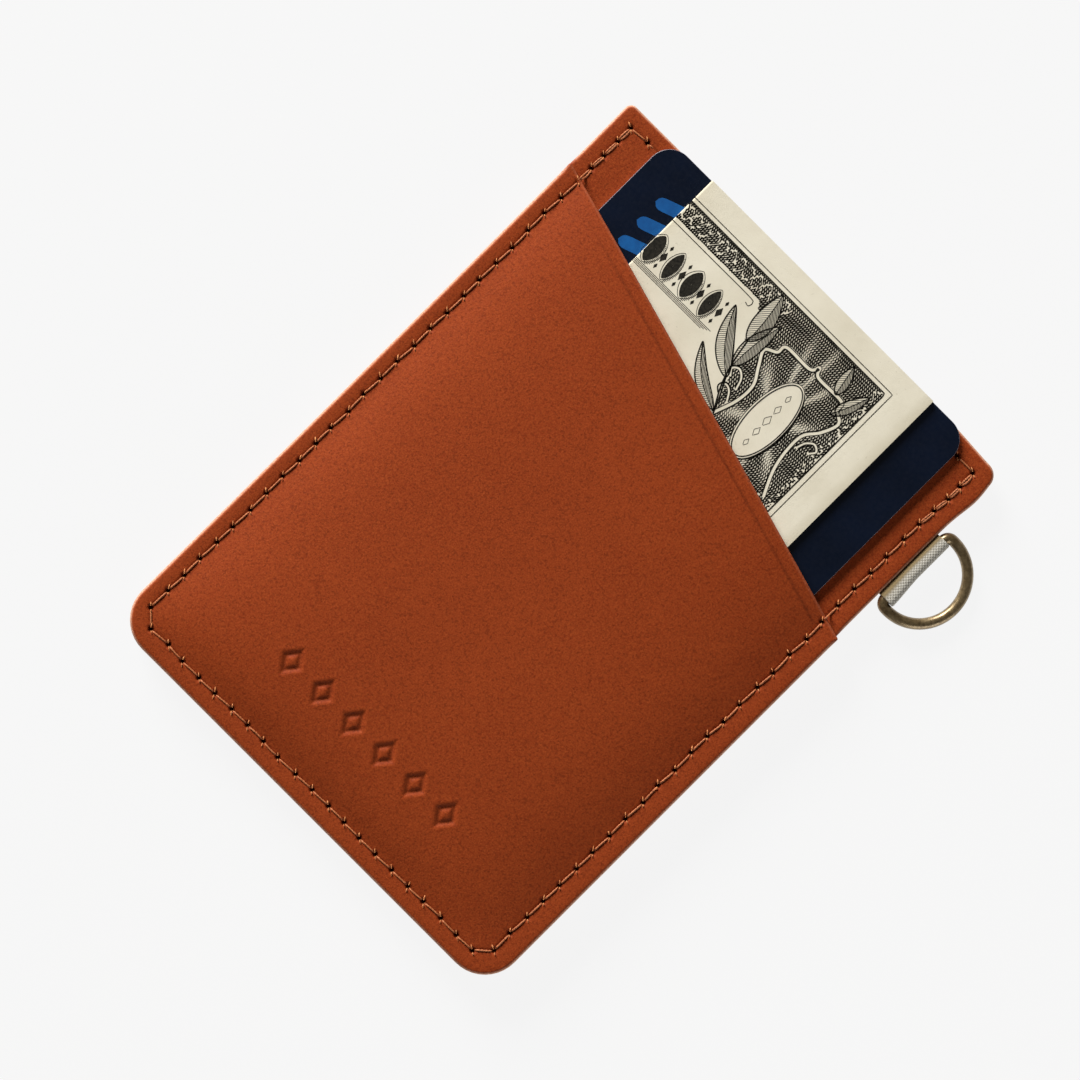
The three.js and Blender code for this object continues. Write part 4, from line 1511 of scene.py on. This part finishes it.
def engrave_rosette(ink):
    """The looping rosette in the middle of the note."""
    middle = np.array([13.2, NOTE_LONG / 2])
    turn = np.linspace(0, 2 * np.pi, 400)
    for lobes, size, ripple in ((12, 7.8, 0.9), (16, 5.6, 0.8), (10, 3.4, 0.7)):
        for k in range(6):
            radius = size + ripple * np.cos(lobes * turn + k * np.pi / 3)
            line = middle + np.stack([np.cos(turn), np.sin(turn)], axis=1) * radius[:, None]
            ink.stroke(line, 0.09)
    for radius, width in ((9.1, 0.22), (1.6, 0.2), (2.1, 0.09)):
        ink.closed(ellipse(middle, np.full(2, radius)), width)


def upside_down(uv):
    """The same place as seen from the note's other end."""
    return uv * [1, -1] + [0, NOTE_LONG]


def engrave_note():
    ink = Ink()
    engrave_corner(ink)
    engrave_borders(ink)
    engrave_ornament_row(ink)
    ink.mirrored(upside_down)
    engrave_rosette(ink)
    return ink


def make_note_print():
    ink = engrave_note()
    front = at_height(note_high[2] + INK_LIFT)
    corner = np.array([note_low[0], note_high[1]])
    ink.make("note_engraving", lambda uv: front(corner + uv * [1, -1]), INK_LOOK, "note", "paper")
    reverse = Ink()
    engrave_borders(reverse)
    reverse.mirrored(upside_down)
    engrave_rosette(reverse)
    back = at_height(note_low[2] - INK_LIFT)
    reverse.make("note_reverse", lambda uv: back(note_low[:2] + uv), INK_LOOK, "note", "paper")


make_note_print()


# ---------------------------------------------------------------- stage, light and camera
PHOTO_SPAN = 137.2  # the frame's width at the wallet's front face
VIEW_CENTRE = (-2.22, -1.03)
LENS, SENSOR = 135.0, 36.0
FROM_LEFT = np.array([-0.927, 0.375])  # the key light's side of the wallet; the fill is opposite
KEY_RISE, FILL_RISE = 0.4, 0.2  # the lights' heights over their distances along the floor
LIGHT_FAR = 2500.0
KEY_SIZE, FILL_SIZE = 1300.0, 1900.0
KEY_POWER, FILL_POWER = 136.0, 27.0
KEY_COLOR = (1.0, 0.985, 0.96)
WORLD_STRENGTH = 0.08
FLOOR_GLOW = 0.885  # the floor's own light, which makes it as white as the photograph's background
FLOOR_Z = -0.13  # just under the back's stitches, which the wallet rests on


def make_floor():
    size = 1500.0
    mesh = bpy.data.meshes.new("floor")
    corners = [(x * size, y * size, FLOOR_Z) for x, y in ((-1, -1), (1, -1), (1, 1), (-1, 1))]
    mesh.from_pydata([tuple(c * MM for c in p) for p in corners], [], [(0, 1, 2, 3)])
    s = Shader(
        "pale_floor", Roughness=0.9, Specular_IOR_Level=0.1,
        Emission_Color=(1, 1, 1, 1), Emission_Strength=FLOOR_GLOW,
    )
    s.color(s.blend(s.noise(60, detail=2), (0.04, 0.04, 0.04, 1), (0.045, 0.045, 0.045, 1)))
    mesh.materials.append(s.material)
    floor = bpy.data.objects.new("floor", mesh)
    bpy.context.scene.collection.objects.link(floor)


def make_light(name, direction, distance, size, power, color=(1, 1, 1)):
    light = bpy.data.lights.new(name, "AREA")
    light.shape = "DISK"
    light.size = size * MM
    light.energy = power
    light.color = color
    place = Vector(direction).normalized() * distance * MM
    lamp = bpy.data.objects.new(name, light)
    lamp.location = place
    lamp.visible_camera = False
    lamp.rotation_mode = "QUATERNION"
    lamp.rotation_quaternion = place.to_track_quat("Z", "Y")
    bpy.context.scene.collection.objects.link(lamp)


def make_camera():
    data = bpy.data.cameras.new("camera")
    data.lens = LENS
    data.sensor_width = SENSOR
    height = POCKET_TOP + PHOTO_SPAN * LENS / SENSOR
    camera = bpy.data.objects.new("camera", data)
    camera.location = (VIEW_CENTRE[0] * MM, VIEW_CENTRE[1] * MM, height * MM)
    camera.rotation_euler = (0, 0, math.radians(45))
    bpy.context.scene.collection.objects.link(camera)
    bpy.context.scene.camera = camera


def make_world():
    world = bpy.data.worlds.new("studio")
    world.use_nodes = True
    background = world.node_tree.nodes["Background"]
    background.inputs["Color"].default_value = (1.0, 1.0, 1.0, 1)
    background.inputs["Strength"].default_value = WORLD_STRENGTH
    bpy.context.scene.world = world


make_camera()
make_floor()
make_world()
make_light("key", (*FROM_LEFT, KEY_RISE), LIGHT_FAR, KEY_SIZE, KEY_POWER, KEY_COLOR)
make_light("fill", (*-FROM_LEFT, FILL_RISE), LIGHT_FAR, FILL_SIZE, FILL_POWER)
bpy.context.scene.view_settings.view_transform = "Standard"
